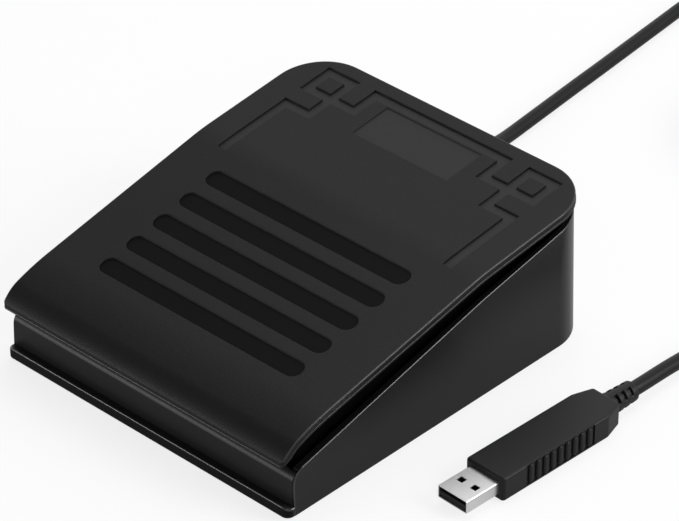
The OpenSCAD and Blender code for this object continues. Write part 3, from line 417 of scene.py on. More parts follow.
def pedal_samples():
    """Each sample: its place along the line, y, z and the slope there."""
    s, y, z, slope = 0.0, REAR_Y, REAR_Z, math.radians(REAR_SLOPE)
    samples = [(s, y, z, slope)]
    for kind, size, end, steps in RUNS:
        if kind == "straight":
            s += size / math.cos(slope)
            y -= size
            z -= size * math.tan(slope)
            samples.append((s, y, z, slope))
            continue
        for k in range(steps):
            turn = (math.radians(end) - slope) / (steps - k)
            s += size * turn
            y -= size * (math.sin(slope + turn) - math.sin(slope))
            z -= size * (math.cos(slope) - math.cos(slope + turn))
            slope += turn
            samples.append((s, y, z, slope))
    return samples


LINE = pedal_samples()
NOSE_S = LINE[-1][0]
print("pedal line:", len(LINE), "samples,", round(NOSE_S, 1), "mm long")

# %% Wrapping a sheet onto the line
PEDAL_T, HALF_W = 2.85, 60.85
# The plate ends in an upright face this tall, which forms over the last stretch of the nose
END_H, END_RUN = 1.6, 3.0
# From this slope on, and over so many degrees, depth turns from straight down to square to the top
LEAN_FROM, LEAN_OVER = 12, 9


def wrap(x, s, n):
    """The point at x across, s along the line and n above the top, in mm."""
    i = 1
    while i < len(LINE) - 1 and LINE[i][0] < s:
        i += 1
    (s0, y0, z0, a0), (s1, y1, z1, a1) = LINE[i - 1], LINE[i]
    t = (s - s0) / (s1 - s0)
    y, z, a = y0 + t * (y1 - y0), z0 + t * (z1 - z0), a0 + t * (a1 - a0)
    lean = min(max((math.degrees(a) - LEAN_FROM) / LEAN_OVER, 0), 1)
    straight_down = Vector((0, 0, 1 / math.cos(a)))
    square_down = Vector((0, -math.sin(a), math.cos(a)))
    upright = Vector((0, 0, END_H / PEDAL_T))
    end = min(max(1 - (NOSE_S - s) / END_RUN, 0), 1)
    return Vector((x, y, z)) + n * straight_down.lerp(square_down, lean).lerp(upright, end)


print("nose ends at", [round(v, 1) for v in wrap(0, NOSE_S, 0)], "mm")

# %% [markdown]
# ## The pedal's top
#
# The top carries shallow moulded recesses: the key fret, the label's bed and the grip bars. All of
# them are drawn flat as outlines, one outline for each step of a recess's rounded edge and wall. A
# constrained triangulation fills the sheet between all these outlines, and then the sheet is wrapped
# onto the pedal's line, with each outline lowered to its own depth. Cutting with booleans would leave
# long thin faces that shade badly on the bend.

# %% Outline of the pedal
REAR_R, NOSE_R = 18.0, 1.5
REAR_STEPS, NOSE_STEPS = 16, 6
# Points across the rear and the nose, and how close to the corners the points on the sides may come
ACROSS, REAR_REACH, NOSE_REACH = 12, 36, 48
CLEAR_REAR, CLEAR_NOSE = 0.5, 0.2


def arc_points(cx, cy, r, start, end, count):
    angles = [math.radians(start + (end - start) * k / count) for k in range(count + 1)]
    return [(cx + r * math.cos(a), cy + r * math.sin(a)) for a in angles]


def pedal_outline(d):
    """The outline moved in by d, as (x, s); s grows towards the nose."""
    tip = NOSE_S - NOSE_R
    sides = [s for s, *_ in LINE if REAR_R + CLEAR_REAR < s < tip - CLEAR_NOSE]
    sides = sorted(sides + [REAR_R + ACROSS, REAR_R + 2 * ACROSS])
    right = [(HALF_W - d, s) for s in reversed(sides)]
    left = [(-HALF_W + d, s) for s in sides]
    rear = [(x, d) for x in range(REAR_REACH, -REAR_REACH - 1, -ACROSS)]
    nose = [(x, NOSE_S - d) for x in range(-NOSE_REACH, NOSE_REACH + 1, ACROSS)]
    rr, rn = REAR_R - d, NOSE_R - d
    return (right + arc_points(HALF_W - REAR_R, REAR_R, rr, 0, -90, REAR_STEPS) + rear
            + arc_points(-HALF_W + REAR_R, REAR_R, rr, -90, -180, REAR_STEPS) + left
            + arc_points(-HALF_W + NOSE_R, tip, rn, 180, 90, NOSE_STEPS) + nose
            + arc_points(HALF_W - NOSE_R, tip, rn, 90, 0, NOSE_STEPS))


print("pedal outline:", len(pedal_outline(0)), "points")

# %% Outlines of the recesses
FRET = dict(stroke=3.7, pitch=10.3, side=12.35, rear=7.4, leg=27.8, depth=0.75)
LABEL = dict(w=40.5, l=16.4, rear=10.1, depth=0.35)
BARS = dict(count=5, l=86, w=7, pitch=12, depth=0.5, front_y=-51, steps=20)
# Each step of a recess: how far outside its edge, and how much of its depth
RECESS_STEPS = [(0.22, 0.0), (0.12, 0.05), (0.05, 0.16), (0.0, 0.35), (-0.06, 1.0)]
# The pedal's material slots
PLAIN, BLACK_AND_SHADE, ETCHED, FILM, HIGHLIGHTED = range(5)


def box_outline(x0, s0, x1, s1, grow):
    x0, s0, x1, s1 = x0 - grow, s0 - grow, x1 + grow, s1 + grow
    return [(x0, s0), (x1, s0), (x1, s1), (x0, s1)]


def fret_strokes():
    half = FRET["stroke"] / 2
    gx = [HALF_W - FRET["side"] - i * FRET["pitch"] for i in range(3)]
    gs = [FRET["rear"] + i * FRET["pitch"] for i in range(3)]
    lines = [((-gx[2], gs[0]), (gx[2], gs[0]))]
    for k in (-1, 1):
        lines += [((k * gx[0], gs[0]), (k * gx[1], gs[0])), ((k * gx[1], gs[0]), (k * gx[1], gs[2])),
                  ((k * gx[0], gs[0]), (k * gx[0], gs[1])), ((k * gx[0], gs[1]), (k * gx[2], gs[1])),
                  ((k * gx[2], gs[1]), (k * gx[2], gs[0])), ((k * gx[1], gs[2]), (k * gx[0], gs[2])),
                  ((k * gx[0], gs[2]), (k * gx[0], gs[2] + FRET["leg"]))]
    return [(min(a[0], b[0]) - half, min(a[1], b[1]) - half,
             max(a[0], b[0]) + half, max(a[1], b[1]) + half) for a, b in lines]


label_box = (-LABEL["w"] / 2, LABEL["rear"], LABEL["w"] / 2, LABEL["rear"] + LABEL["l"])
curl_s = next(s for s, y, z, slope in LINE if y < BARS["front_y"])


def bar_outline(i, grow):
    s = curl_s - BARS["w"] - i * BARS["pitch"]
    r, reach = BARS["w"] / 2 + grow, (BARS["l"] - BARS["w"]) / 2
    return (arc_points(reach, s, r, -90, 90, BARS["steps"])
            + arc_points(-reach, s, r, 90, 270, BARS["steps"]))


# Every recess: its slot, its depth and its outline for a given growth
recesses = [(ETCHED, FRET["depth"], lambda g, box=box: box_outline(*box, g)) for box in fret_strokes()]
recesses.append((FILM, LABEL["depth"], lambda g: box_outline(*label_box, g)))
recesses += [(BLACK_AND_SHADE, BARS["depth"], lambda g, i=i: bar_outline(i, g)) for i in range(BARS["count"])]
print(len(recesses), "recesses; the bars begin", round(curl_s, 1), "mm from the rear")

# %% Fill a flat sheet
# The fill keeps only triangles inside the boundary, and merges points this close in mm
KEEP_INSIDE, SHEET_MERGE = 1, 1e-5
# Points this near to the sides face each other if their places agree to so many digits
SIDE_STRIP, KEY_DIGITS = 2, 5


def filled(boundary, outlines, cross_lines):
    """Triangles of the sheet inside the boundary that keep every outline and cross line as edges."""
    points, edges = [], []
    for outline in [boundary] + outlines:
        first = len(points)
        points += [Vector(p) for p in outline]
        edges += [(first + i, first + (i + 1) % len(outline)) for i in range(len(outline))]
    for a, b in cross_lines:
        edges.append((len(points), len(points) + 1))
        points += [Vector(a), Vector(b)]
    face = list(range(len(boundary)))
    found = delaunay_2d_cdt(points, edges, [face], KEEP_INSIDE, SHEET_MERGE, False)
    return found[0], found[2]


def cross_lines_for(boundary):
    """One line across the sheet between each pair of boundary points that face each other."""
    ends = {}
    for sign in (-1, 1):
        ends[sign] = {round(s, KEY_DIGITS): (x, s) for x, s in boundary
                      if sign * x > HALF_W - SIDE_STRIP and s > REAR_R}
    return [(ends[-1][key], ends[1][key]) for key in ends[-1] if key in ends[1]]


print("cross lines:", len(cross_lines_for(pedal_outline(0))))

# %% Rounded border of the plate
EDGE_R, UNDER_R = 0.42, 0.35
# A low step runs round the plate's edge where the halves of its mould meet: its depth and its height
STEP_IN, STEP_H = 0.2, 0.95
EDGE_COUNT, STEP_COUNT = 5, 3
NOSE_STRIP = 0.6


def edge_steps(radius, steps, start=0, end=90):
    """(inset, drop) round an edge of this radius."""
    angles = [math.radians(start + (end - start) * k / steps) for k in range(steps + 1)]
    return [(radius * (1 - math.sin(a)), radius * (1 - math.cos(a))) for a in angles]


top_steps = [(d + STEP_IN, drop) for d, drop in edge_steps(EDGE_R, EDGE_COUNT)]
low_steps = [(d, PEDAL_T - STEP_H + drop) for d, drop in edge_steps(STEP_IN, STEP_COUNT)]
under_steps = [(d, PEDAL_T - drop) for d, drop in reversed(edge_steps(UNDER_R, STEP_COUNT))]
border = [(d, -drop) for d, drop in top_steps + low_steps + under_steps]
points, faces = [], []
join_loops([[wrap(x, s, n) for x, s in pedal_outline(d)] for d, n in border], points, faces)
# A highlight line is painted on the step all round, and on the upper edge only at the sides and the rear
upper_row = [PLAIN if s > NOSE_S - NOSE_STRIP else HIGHLIGHTED for x, s in pedal_outline(0)]
zones = upper_row * (len(top_steps) - 1) + [PLAIN] * len(upper_row)
zones += [HIGHLIGHTED] * len(upper_row) * (len(low_steps) - 1)
zones += [PLAIN] * (len(faces) - len(zones))
print("border:", len(border), "loops")

# %% How deep each point of the top lies
# A point this close to a line is on it, and a line this short is a point, in mm
ON_LINE, NO_LENGTH = 2e-4, 1e-9
floors = [(zone, [(outline(grow), depth * share) for grow, share in reversed(RECESS_STEPS)])
          for zone, depth, outline in recesses]


def within(point, outline):
    """Whether a point is inside an outline or on it; all outlines here are convex."""
    x, s = point
    turn = 0
    for (x0, s0), (x1, s1) in zip(outline, outline[1:] + outline[:1]):
        length = math.hypot(x1 - x0, s1 - s0)
        if length < NO_LENGTH:
            continue
        side = ((x1 - x0) * (s - s0) - (s1 - s0) * (x - x0)) / length
        if abs(side) > ON_LINE:
            if turn * side < 0:
                return False
            turn = side
    return True


def drop_at(point):
    """How far a point of the sheet lies below the top, and in which zone's floor it is."""
    best, zone_here = 0.0, PLAIN
    for zone, steps in floors:
        if not within(point, steps[-1][0]):
            continue
        for k, (outline, drop) in enumerate(steps):
            if within(point, outline):
                if drop > best:
                    best, zone_here = drop, zone if k == 0 else PLAIN
                break
    return best, zone_here


print("deepest floor:", max(steps[0][1] for zone, steps in floors), "mm")

# %% Top and underside of the plate
top_edge = pedal_outline(EDGE_R + STEP_IN)
outlines = [outline(grow) for zone, depth, outline in recesses for grow, share in RECESS_STEPS]
sheet, triangles = filled(top_edge, outlines, cross_lines_for(top_edge))
first = len(points)
lowered = [drop_at(p) for p in sheet]
points += [wrap(p[0], p[1], -drop) for p, (drop, zone) in zip(sheet, lowered)]
for triangle in triangles:
    faces.append(tuple(first + i for i in triangle))
    corner_zones = [lowered[i][1] for i in triangle]
    zones.append(corner_zones[0] if PLAIN not in corner_zones else PLAIN)
print("top:", len(triangles), "triangles")

under_edge = pedal_outline(UNDER_R)
sheet, triangles = filled(under_edge, [], cross_lines_for(under_edge))
first = len(points)
points += [wrap(p[0], p[1], -PEDAL_T) for p in sheet]
faces += [tuple(first + i for i in triangle) for triangle in triangles]
zones += [PLAIN] * len(triangles)
print("underside:", len(triangles), "triangles")

# %% [markdown]
# ## Below the plate
#
# The skirt, the hinge ears, the spring cups and the toe hang below the plate. Their CAD faces are
# already right, so a copy of those that lie under the plate completes the pedal. These faces get the
# bars' deep black as painted shade, so that they stay dark in the gap under the plate.

# %% Parts under the plate
# Faces in front of this are the nose itself, and faces this close to the underside belong to it
NOSE_FROM, SKIN = -62, 0.05
below = []
under = bmesh.new()
under.from_mesh(nodes["pedal_plate"].data)
for face in under.faces:
    middle = face.calc_center_median() / MM
    i = max(k for k in range(len(LINE)) if LINE[k][1] >= middle.y or k == 0)
    s = LINE[i][0] + (LINE[i][1] - middle.y) / math.cos(LINE[i][3])
    if middle.y < NOSE_FROM or middle.z > wrap(middle.x, s, -PEDAL_T).z - SKIN:
        continue
    below.append([v.co / MM for v in face.verts])
under.free()
# The parts under the plate take the bars' black as painted shade
pedal = new_piece("pedal", points, faces, zones, also=below, also_zone=BLACK_AND_SHADE)
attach(pedal, "pedal")
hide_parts("pedal_plate")

# %% [markdown]
# ## The base
#
# The base is two mouldings: a shell that makes the side and rear walls, and a tray that makes the
# floor, the front wall and its lip. Their shapes are in the CAD model, but with sharp edges. Modelling
# them anew would only repeat its sizes, so a copy of each is merged, flat triangles become whole faces,
# and a Bevel modifier rounds the outer edges.

# %% Rounded copies of CAD pieces
# Merge distance in metres, the angle below which faces join, and that from which an edge is sharp
CAD_MERGE, FLAT_ANGLE, SHARP_ANGLE = 2e-6, math.radians(0.4), math.radians(30)
BEVEL_STEPS = 3
# The base's material slots
WALL, EDGE, ROLL, LIP = range(4)


def rounded(node, name, radius, share, finishes, zone=lambda normal, middle: WALL,
            lift=lambda point: 0.0):
    """A copy of a CAD piece with round edges: share(middle) is the part of the radius that a convex
    edge gets, zone(normal, middle) a face's slot, and lift(point) how far a point goes up."""
    bm = bmesh.new()
    bm.from_mesh(nodes[node].data)
    bmesh.ops.remove_doubles(bm, verts=bm.verts, dist=CAD_MERGE)
    for vert in bm.verts:
        vert.co.z += lift(vert.co / MM) * MM
    bm.normal_update()
    bmesh.ops.dissolve_limit(bm, angle_limit=FLAT_ANGLE, verts=bm.verts, edges=bm.edges,
                             delimit={"NORMAL"})
    weight = bm.edges.layers.float.new("bevel_weight_edge")
    count = 0
    for face in bm.faces:
        face.smooth = True
        face.material_index = zone(face.normal, face.calc_center_median() / MM)
    for edge in bm.edges:
        angle = edge.calc_face_angle(0)
        if edge.is_convex and angle > SHARP_ANGLE:
            edge[weight] = share((edge.verts[0].co + edge.verts[1].co) / (2 * MM))
        edge.smooth = angle < SHARP_ANGLE or edge[weight] > 0
        count += edge[weight] > 0
    mesh = bpy.data.meshes.new(name)
    bm.to_mesh(mesh)
    bm.free()
    for finish in finishes:
        mesh.materials.append(finish)
    piece = bpy.data.objects.new(name, mesh)
    scene.collection.objects.link(piece)
    bevel = piece.modifiers.new("radius", "BEVEL")
    bevel.limit_method = "WEIGHT"
    bevel.width = radius * MM
    bevel.segments = BEVEL_STEPS
    bevel.material = EDGE
    bevel.use_clamp_overlap = False
    print(name, "rounds", count, "edges")
    return weigh_normals(piece)


# %% Which edges and faces of the base are which
# The front wall's face, the strip behind it, and how far in front of it the lip begins
FRONT_Y, FRONT_STRIP, PAST_FRONT = -66.925, 3, 0.1
# Edges nearer to the middle than this are inside the base or beside its front wall, and stay sharp
INNER_X, INNER_Y, OUTER_X = 57.5, 67.5, 60.9
# A face is turned to the front or up when its normal has this much of that direction
TURNED = 0.2
# The lip's top is drawn a little higher than in the CAD model, as the photograph shows it, and the
# lift fades out at the lip's round ends
LIP_Z, LIP_LIFT, LIP_END, HALF_BASE, LIP_SLACK = 4.1, 0.8, 2.6, 61.5, 0.05


def shell_share(p):
    inside = abs(p.x) < INNER_X and p.y < INNER_Y
    beside_front_wall = abs(p.x) < OUTER_X and p.y < FRONT_Y + FRONT_STRIP
    return 0.0 if inside or beside_front_wall else 1.0


def tray_share(p):
    return 1.0 if p.y < FRONT_Y - PAST_FRONT else 0.0


def tray_zone(normal, middle):
    if normal.y < -TURNED and normal.z > TURNED:
        return ROLL
    return LIP if middle.y < FRONT_Y - PAST_FRONT and normal.y < -TURNED else WALL


def lip_lift(p):
    on_top = abs(p.z - LIP_Z) < LIP_SLACK and p.y < FRONT_Y + LIP_SLACK
    return LIP_LIFT * min((HALF_BASE - abs(p.x)) / LIP_END, 1) if on_top else 0.0


# %% Shell and tray
SHELL_EDGE_R, TRAY_EDGE_R = 0.35, 0.55
shell = rounded("side_shell", "shell", SHELL_EDGE_R, shell_share, (SHELL_ABS, EDGE_HIGHLIGHT_ABS))
tray = rounded("base_tray", "tray", TRAY_EDGE_R, tray_share, (FRONT_PAINTED_LIGHT_ABS, EDGE_HIGHLIGHT_ABS, ROLL_HIGHLIGHT_ABS, LIP_SHADE_ABS),
               tray_zone, lip_lift)
for piece, node in ((shell, "side_shell"), (tray, "base_tray")):
    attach(piece, "base")
    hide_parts(node)

# %% [markdown]
# ## The plug's grip
#
# The grip is soft plastic moulded over the plug: a block with round edges, a row of finger pads in a
# shallow pocket on each side, and a slotted relief that lets the lead bend. The block and the relief
# are stacks of loops again, so the pockets and the slots are steps in a stack, with nothing to cut.

# %% Outline of the grip
GRIP_W, GRIP_H, GRIP_EDGE = 16.0, 8.6, 1.0
TAPER_W, TAPER_L = 2.4, 7.5
# Radius and steps of the corners at the front, at the taper's start and at its end
FRONT_CORNER, SHOULDER, END_CORNER = (1.3, 8), (4, 5), (1.2, 6)
PAD_COUNT, PAD_PITCH, GROOVE = 9, 3.22, 1.0
POCKET_FROM, POCKET_DEEP, POCKET_Z = 10.2, 0.5, (1.25, 8.2)
POCKET_V = (POCKET_FROM, POCKET_FROM + PAD_COUNT * PAD_PITCH + GROOVE)
POCKET_WALL, POCKET_LEDGE = 0.08, 0.06
# Further places along the side that keep its faces short
BEFORE_POCKET, IN_POCKET = [4, 7], [18, 26, 34]


def corner(p, n1, n2, radius, count, d):
    """Round corner between two sides with normals n1 and n2, moved in by d."""
    p, n1, n2 = Vector(p), Vector(n1).normalized(), Vector(n2).normalized()
    c = p - radius * (n1 + n2) / (1 + n1.dot(n2))
    a, b = math.atan2(n1.y, n1.x), math.atan2(n2.y, n2.x)
    while b < a:
        b += 2 * math.pi
    return [(c.x + (radius - d) * math.cos(a + (b - a) * k / count),
             c.y + (radius - d) * math.sin(a + (b - a) * k / count)) for k in range(count + 1)]


def grip_outline(d, pocket):
    """Outline of the grip as (u, v), moved in by d, with its pockets or without."""
    half, side = GRIP_W / 2, (TAPER_L, TAPER_W)
    walls = [[v - POCKET_WALL, v + POCKET_WALL] for v in POCKET_V]
    along = BEFORE_POCKET + walls[0] + IN_POCKET + walls[1]
    sunk = [POCKET_DEEP if pocket and POCKET_V[0] < v < POCKET_V[1] else 0 for v in along]
    right = (corner((half, 0), (0, -1), (1, 0), *FRONT_CORNER, d)
             + [(half - d - deep, v) for v, deep in zip(along, sunk)]
             + corner((half, GRIP_L - TAPER_L), (1, 0), side, *SHOULDER, d)
             + corner((half - TAPER_W, GRIP_L), side, (0, 1), *END_CORNER, d))
    return right + [(-u, v) for u, v in reversed(right)]


print("grip outline:", len(grip_outline(0, True)), "points")

# %% Grip block
GRIP_STEPS = 6
grip_edge = edge_steps(GRIP_EDGE, GRIP_STEPS)
levels = [(d, z, False) for d, z in grip_edge]
levels += [(0, POCKET_Z[0] - POCKET_LEDGE, False), (0, POCKET_Z[0] + POCKET_LEDGE, True)]
levels += [(d, GRIP_H - drop, GRIP_H - drop < POCKET_Z[1]) for d, drop in reversed(grip_edge)]
points, faces = [], []
starts = join_loops([[(u, v, z) for u, v in grip_outline(d, pocket)] for d, z, pocket in levels],
                    points, faces)
loop_size = len(points) // len(levels)
faces += [tuple(reversed(range(loop_size))), tuple(range(starts[-1], starts[-1] + loop_size))]
print("grip block:", len(levels), "loops of", loop_size, "points")

# %% Slotted relief
RELIEF_R, RELIEF_END_R, RELIEF_CORE, RELIEF_ROOT = 3.9, 3.45, 2.75, 0.3
RELIEF_EDGE, RELIEF_EDGE_STEPS, RING = 0.5, 4, 56
SLOTS, SLOT, SLOT_PITCH, SLOT_FIRST = 3, 1.4, 3.0, 1.7
# A slot's edge: how far along it is from the slot's end, and how much of the depth it has there
SLOT_EDGE = [(-0.22, 0), (-0.1, 0.06), (0, 0.25), (0.06, 1)]
# Half the angle of the webs between the slots, and over how many more degrees a slot gets deep
WEB, WEB_EDGE = 18, 6
GRIP_SHARP = 50
ring = [2 * math.pi * k / RING for k in range(RING)]


def relief_radius(v, angle, slot_share):
    taper = RELIEF_R + (RELIEF_END_R - RELIEF_R) * v / RELIEF_L
    quarter = abs((math.degrees(angle) + 45) % 90 - 45)
    window = min(max((quarter - WEB) / WEB_EDGE, 0), 1)
    return taper + (RELIEF_CORE - taper) * window * slot_share


def relief_loop(v, radii):
    return [(r * math.cos(a), GRIP_L + v, GRIP_H / 2 + r * math.sin(a)) for r, a in zip(radii, ring)]


relief_levels = [(-RELIEF_ROOT, 0)]
for i in range(SLOTS):
    v = SLOT_FIRST + i * SLOT_PITCH
    relief_levels += [(v + along, share) for along, share in SLOT_EDGE]
    relief_levels += [(v + SLOT - along, share) for along, share in reversed(SLOT_EDGE)]
relief_loops = [relief_loop(v, [relief_radius(v, a, share) for a in ring]) for v, share in relief_levels]
relief_loops += [relief_loop(RELIEF_L - drop, [RELIEF_END_R - d] * RING)
                 for d, drop in edge_steps(RELIEF_EDGE, RELIEF_EDGE_STEPS, 90, 0)]
starts = join_loops(relief_loops, points, faces)
faces += [tuple(range(start, start + RING)) for start in (starts[0], starts[-1])]
print("relief:", len(relief_loops), "loops of", RING, "points")

# %% The grip's place
PLUG_FOOT = Vector((PLUG_AT.x, PLUG_AT.y, 0))
PLUG_MATRIX = Matrix.Translation(PLUG_FOOT) @ Matrix.Rotation(-PLUG_TURN, 4, "Z")
grip = new_piece("plug_overmould", points, faces, sharp=GRIP_SHARP)
grip.data.transform(PLUG_MATRIX)
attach(grip, "base")
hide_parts("plug_grip")

# %% [markdown]
# ## The finger pads
#
# Nine pads in each pocket are one shape, repeated at an even pitch. That is a job for Geometry Nodes:
# a Mesh Line gives the places, Instance on Points sets a pad on each, and a second, turned row serves
# the other side. Realize Instances makes them real faces, and the result is kept as a plain mesh.

# %% One pad
PAD_GAP, PAD_ROOT, PAD_PROUD = 0.2, 0.2, 0.35
PAD_L, PAD_H, PAD_R = PAD_PITCH - GROOVE, POCKET_Z[1] - POCKET_Z[0] - PAD_GAP, 1.0
PAD_ROUND, PAD_STEPS = 0.8, 6


def round_box(low, high, radius, d, count=4):
    """Outline of a box with round corners from its low to its high corner, moved in by d."""
    (x0, y0), (x1, y1) = low, high
    return (corner((x1, y0), (0, -1), (1, 0), radius, count, d)
            + corner((x1, y1), (1, 0), (0, 1), radius, count, d)
            + corner((x0, y1), (0, 1), (-1, 0), radius, count, d)
            + corner((x0, y0), (-1, 0), (0, -1), radius, count, d))


def pad_outline(d):
    return round_box((-PAD_L / 2, -PAD_H / 2), (PAD_L / 2, PAD_H / 2), PAD_R, d)


pad_levels = [(0, -POCKET_DEEP - PAD_ROOT)]
pad_levels += [(d, PAD_PROUD - drop) for d, drop in edge_steps(PAD_ROUND, PAD_STEPS, 90, 0)]
points, faces = [], []
starts = join_loops([[(u, v, z) for v, z in pad_outline(d)] for d, u in pad_levels], points, faces)
faces.append(tuple(range(starts[-1], len(points))))
pad = new_piece("pad", points, faces)

# %% Running a node tree


def node_tree(name, **inputs):
    """A Geometry Nodes tree with one geometry output and named inputs: (socket type, value)."""
    tree = bpy.data.node_groups.new(name, "GeometryNodeTree")
    tree.interface.new_socket("Geometry", in_out="OUTPUT", socket_type="NodeSocketGeometry")
    for label, (kind, value) in inputs.items():
        socket = tree.interface.new_socket(label, in_out="INPUT", socket_type=kind)
        if value is not None:
            socket.default_value = value
    return tree, add(tree, "NodeGroupInput").outputs


def grown(name, tree, **values):
    """Runs a tree on an empty mesh, with its inputs set by identifier, and keeps the mesh it makes."""
    piece = bpy.data.objects.new(name, bpy.data.meshes.new(name))
    scene.collection.objects.link(piece)
    modifier = piece.modifiers.new(name, "NODES")
    modifier.node_group = tree
    for socket in tree.interface.items_tree:
        if socket.in_out == "INPUT" and socket.name in values:
            modifier[socket.identifier] = values[socket.name]
    bpy.context.view_layer.update()
    bake(piece)
    print(name, "has", len(piece.data.polygons), "faces")
    return piece


# %% Rows of pads
tree, given = node_tree("pad_rows", Pad=("NodeSocketObject", None), Count=("NodeSocketInt", 1),
                        Pitch=("NodeSocketFloat", 0.0), Start=("NodeSocketVector", None),
                        Finish=("NodeSocketMaterial", None))
shape = add(tree, "GeometryNodeObjectInfo", {"Object": given["Pad"]})
rows = add(tree, "GeometryNodeJoinGeometry")
offset = add(tree, "ShaderNodeCombineXYZ", {"Y": given["Pitch"]})
for side, turned in ((1, 0), (-1, math.pi)):
    start = add(tree, "ShaderNodeVectorMath", {0: given["Start"], 1: (side, 1, 1)},
                operation="MULTIPLY")
    line = add(tree, "GeometryNodeMeshLine",
               {"Count": given["Count"], "Start Location": start.outputs[0],
                "Offset": offset.outputs[0]})
    row = add(tree, "GeometryNodeInstanceOnPoints",
              {"Points": line.outputs[0], "Instance": shape.outputs["Geometry"],
               "Rotation": (0, 0, turned)})
    tree.links.new(row.outputs[0], rows.inputs[0])
real = add(tree, "GeometryNodeRealizeInstances", {0: rows.outputs[0]})
dressed = add(tree, "GeometryNodeSetMaterial", {0: real.outputs[0], "Material": given["Finish"]})
add(tree, "NodeGroupOutput", {0: dressed.outputs[0]})
first_pad = Vector((GRIP_W / 2, POCKET_V[0] + GROOVE + PAD_L / 2, sum(POCKET_Z) / 2)) * MM
pads = grown("finger_pads", tree, Pad=pad, Count=PAD_COUNT, Pitch=PAD_PITCH * MM, Start=first_pad,
             Finish=GRIP_PVC)
bpy.data.objects.remove(pad)
pads.data.transform(PLUG_MATRIX)
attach(pads, "base")

# %% [markdown]
# ## The return springs
#
# Two wire springs under the pedal push it back up. A spring is a rule: a circle swept along a spiral.
# Geometry Nodes has both curves, so the tree below needs only the spring's sizes.

# %% Tree for the springs
SPIRAL_STEPS, WIRE_SIDES = 36, 12
tree, given = node_tree("springs", Radius=("NodeSocketFloat", 0.0), Wire=("NodeSocketFloat", 0.0),
                        Turns=("NodeSocketFloat", 1.0), Height=("NodeSocketFloat", 0.0),
                        First=("NodeSocketVector", None), Apart=("NodeSocketVector", None),
                        Finish=("NodeSocketMaterial", None))
spiral = add(tree, "GeometryNodeCurveSpiral",
             {"Resolution": SPIRAL_STEPS, "Rotations": given["Turns"], "Height": given["Height"],
              "Start Radius": given["Radius"], "End Radius": given["Radius"]})
circle = add(tree, "GeometryNodeCurvePrimitiveCircle",
             {"Resolution": WIRE_SIDES, "Radius": given["Wire"]})
wire = add(tree, "GeometryNodeCurveToMesh",
           {"Curve": spiral.outputs[0], "Profile Curve": circle.outputs[0], "Fill Caps": True})
line = add(tree, "GeometryNodeMeshLine",
           {"Count": 2, "Start Location": given["First"], "Offset": given["Apart"]})
pair = add(tree, "GeometryNodeInstanceOnPoints",
           {"Points": line.outputs[0], "Instance": wire.outputs[0]})
real = add(tree, "GeometryNodeRealizeInstances", {0: pair.outputs[0]})
dressed = add(tree, "GeometryNodeSetMaterial", {0: real.outputs[0], "Material": given["Finish"]})
add(tree, "NodeGroupOutput", {0: dressed.outputs[0]})
print("springs: a tree of", len(tree.nodes), "nodes")

# %% Springs
SPRING_D, WIRE, TURNS = 12.0, 1.3, 6.0
SPRING_X, SPRING_Y, SPRING_Z = 34, -37.725, (3.8, 29.25)
springs = grown("return_springs", tree, Radius=(SPRING_D - WIRE) / 2 * MM, Wire=WIRE / 2 * MM,
                Turns=TURNS, Height=(SPRING_Z[1] - SPRING_Z[0] - WIRE) * MM,
                First=Vector((-SPRING_X, SPRING_Y, SPRING_Z[0] + WIRE / 2)) * MM,
                Apart=Vector((2 * SPRING_X, 0, 0)) * MM, Finish=ZINC)
springs.data.shade_smooth()
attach(springs, "base")
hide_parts("return_spring_left", "return_spring_right")
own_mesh(springs)

# %% [markdown]
# ## The coil's tie
#
# A nylon tie holds the coil. A hard ring would stand off the turns, so the strap takes its shape from
# the turns that it crosses: a box with round corners just outside them. The same outline, closer and
# wider, makes both faces of the strap. The locking head and the tail are short stacks of loops.

# %% Strap
TIE_ANGLE, TIE_SLACK, STRAP_STEPS = math.radians(20), 0.15, 6
# The strap's cross-section: how far outwards, and how far across
STRAP = [(0, -1.75), (0.25, -2), (0.75, -2), (1, -1.75), (1, 1.75), (0.75, 2), (0.25, 2), (0, 1.75),
         (0, -1.75)]
tie_turn = (TIE_ANGLE - COIL_START) / (2 * math.pi)
crossed = [coil_point(tie_turn + k) / MM for k in range(1, math.ceil(COIL_TURNS))]
reach = [math.hypot(p.x - COIL_AT.x / MM, p.y - COIL_AT.y / MM) for p in crossed]
hug = LEAD_R / MM + TIE_SLACK
strap_low = (min(reach) - hug, min(p.z for p in crossed) - hug)
strap_high = (max(reach) + hug, max(p.z for p in crossed) + hug)
points, faces = [], []
join_loops([[(r, w, z) for r, z in round_box(strap_low, strap_high, hug, -grow, STRAP_STEPS)]
            for grow, w in STRAP], points, faces)
print("strap goes round", len(crossed), "turns")

# %% Head and tail
HEAD_L, HEAD_W, HEAD_H, HEAD_R = 7, 5.6, 4.4, 0.9
HEAD_EDGE, HEAD_STEPS, HEAD_SEAT = 0.6, 4, 0.8
TAIL_LOW, TAIL_HIGH, TAIL_R = (-1.8, -0.5), (1.8, 0.5), 0.3
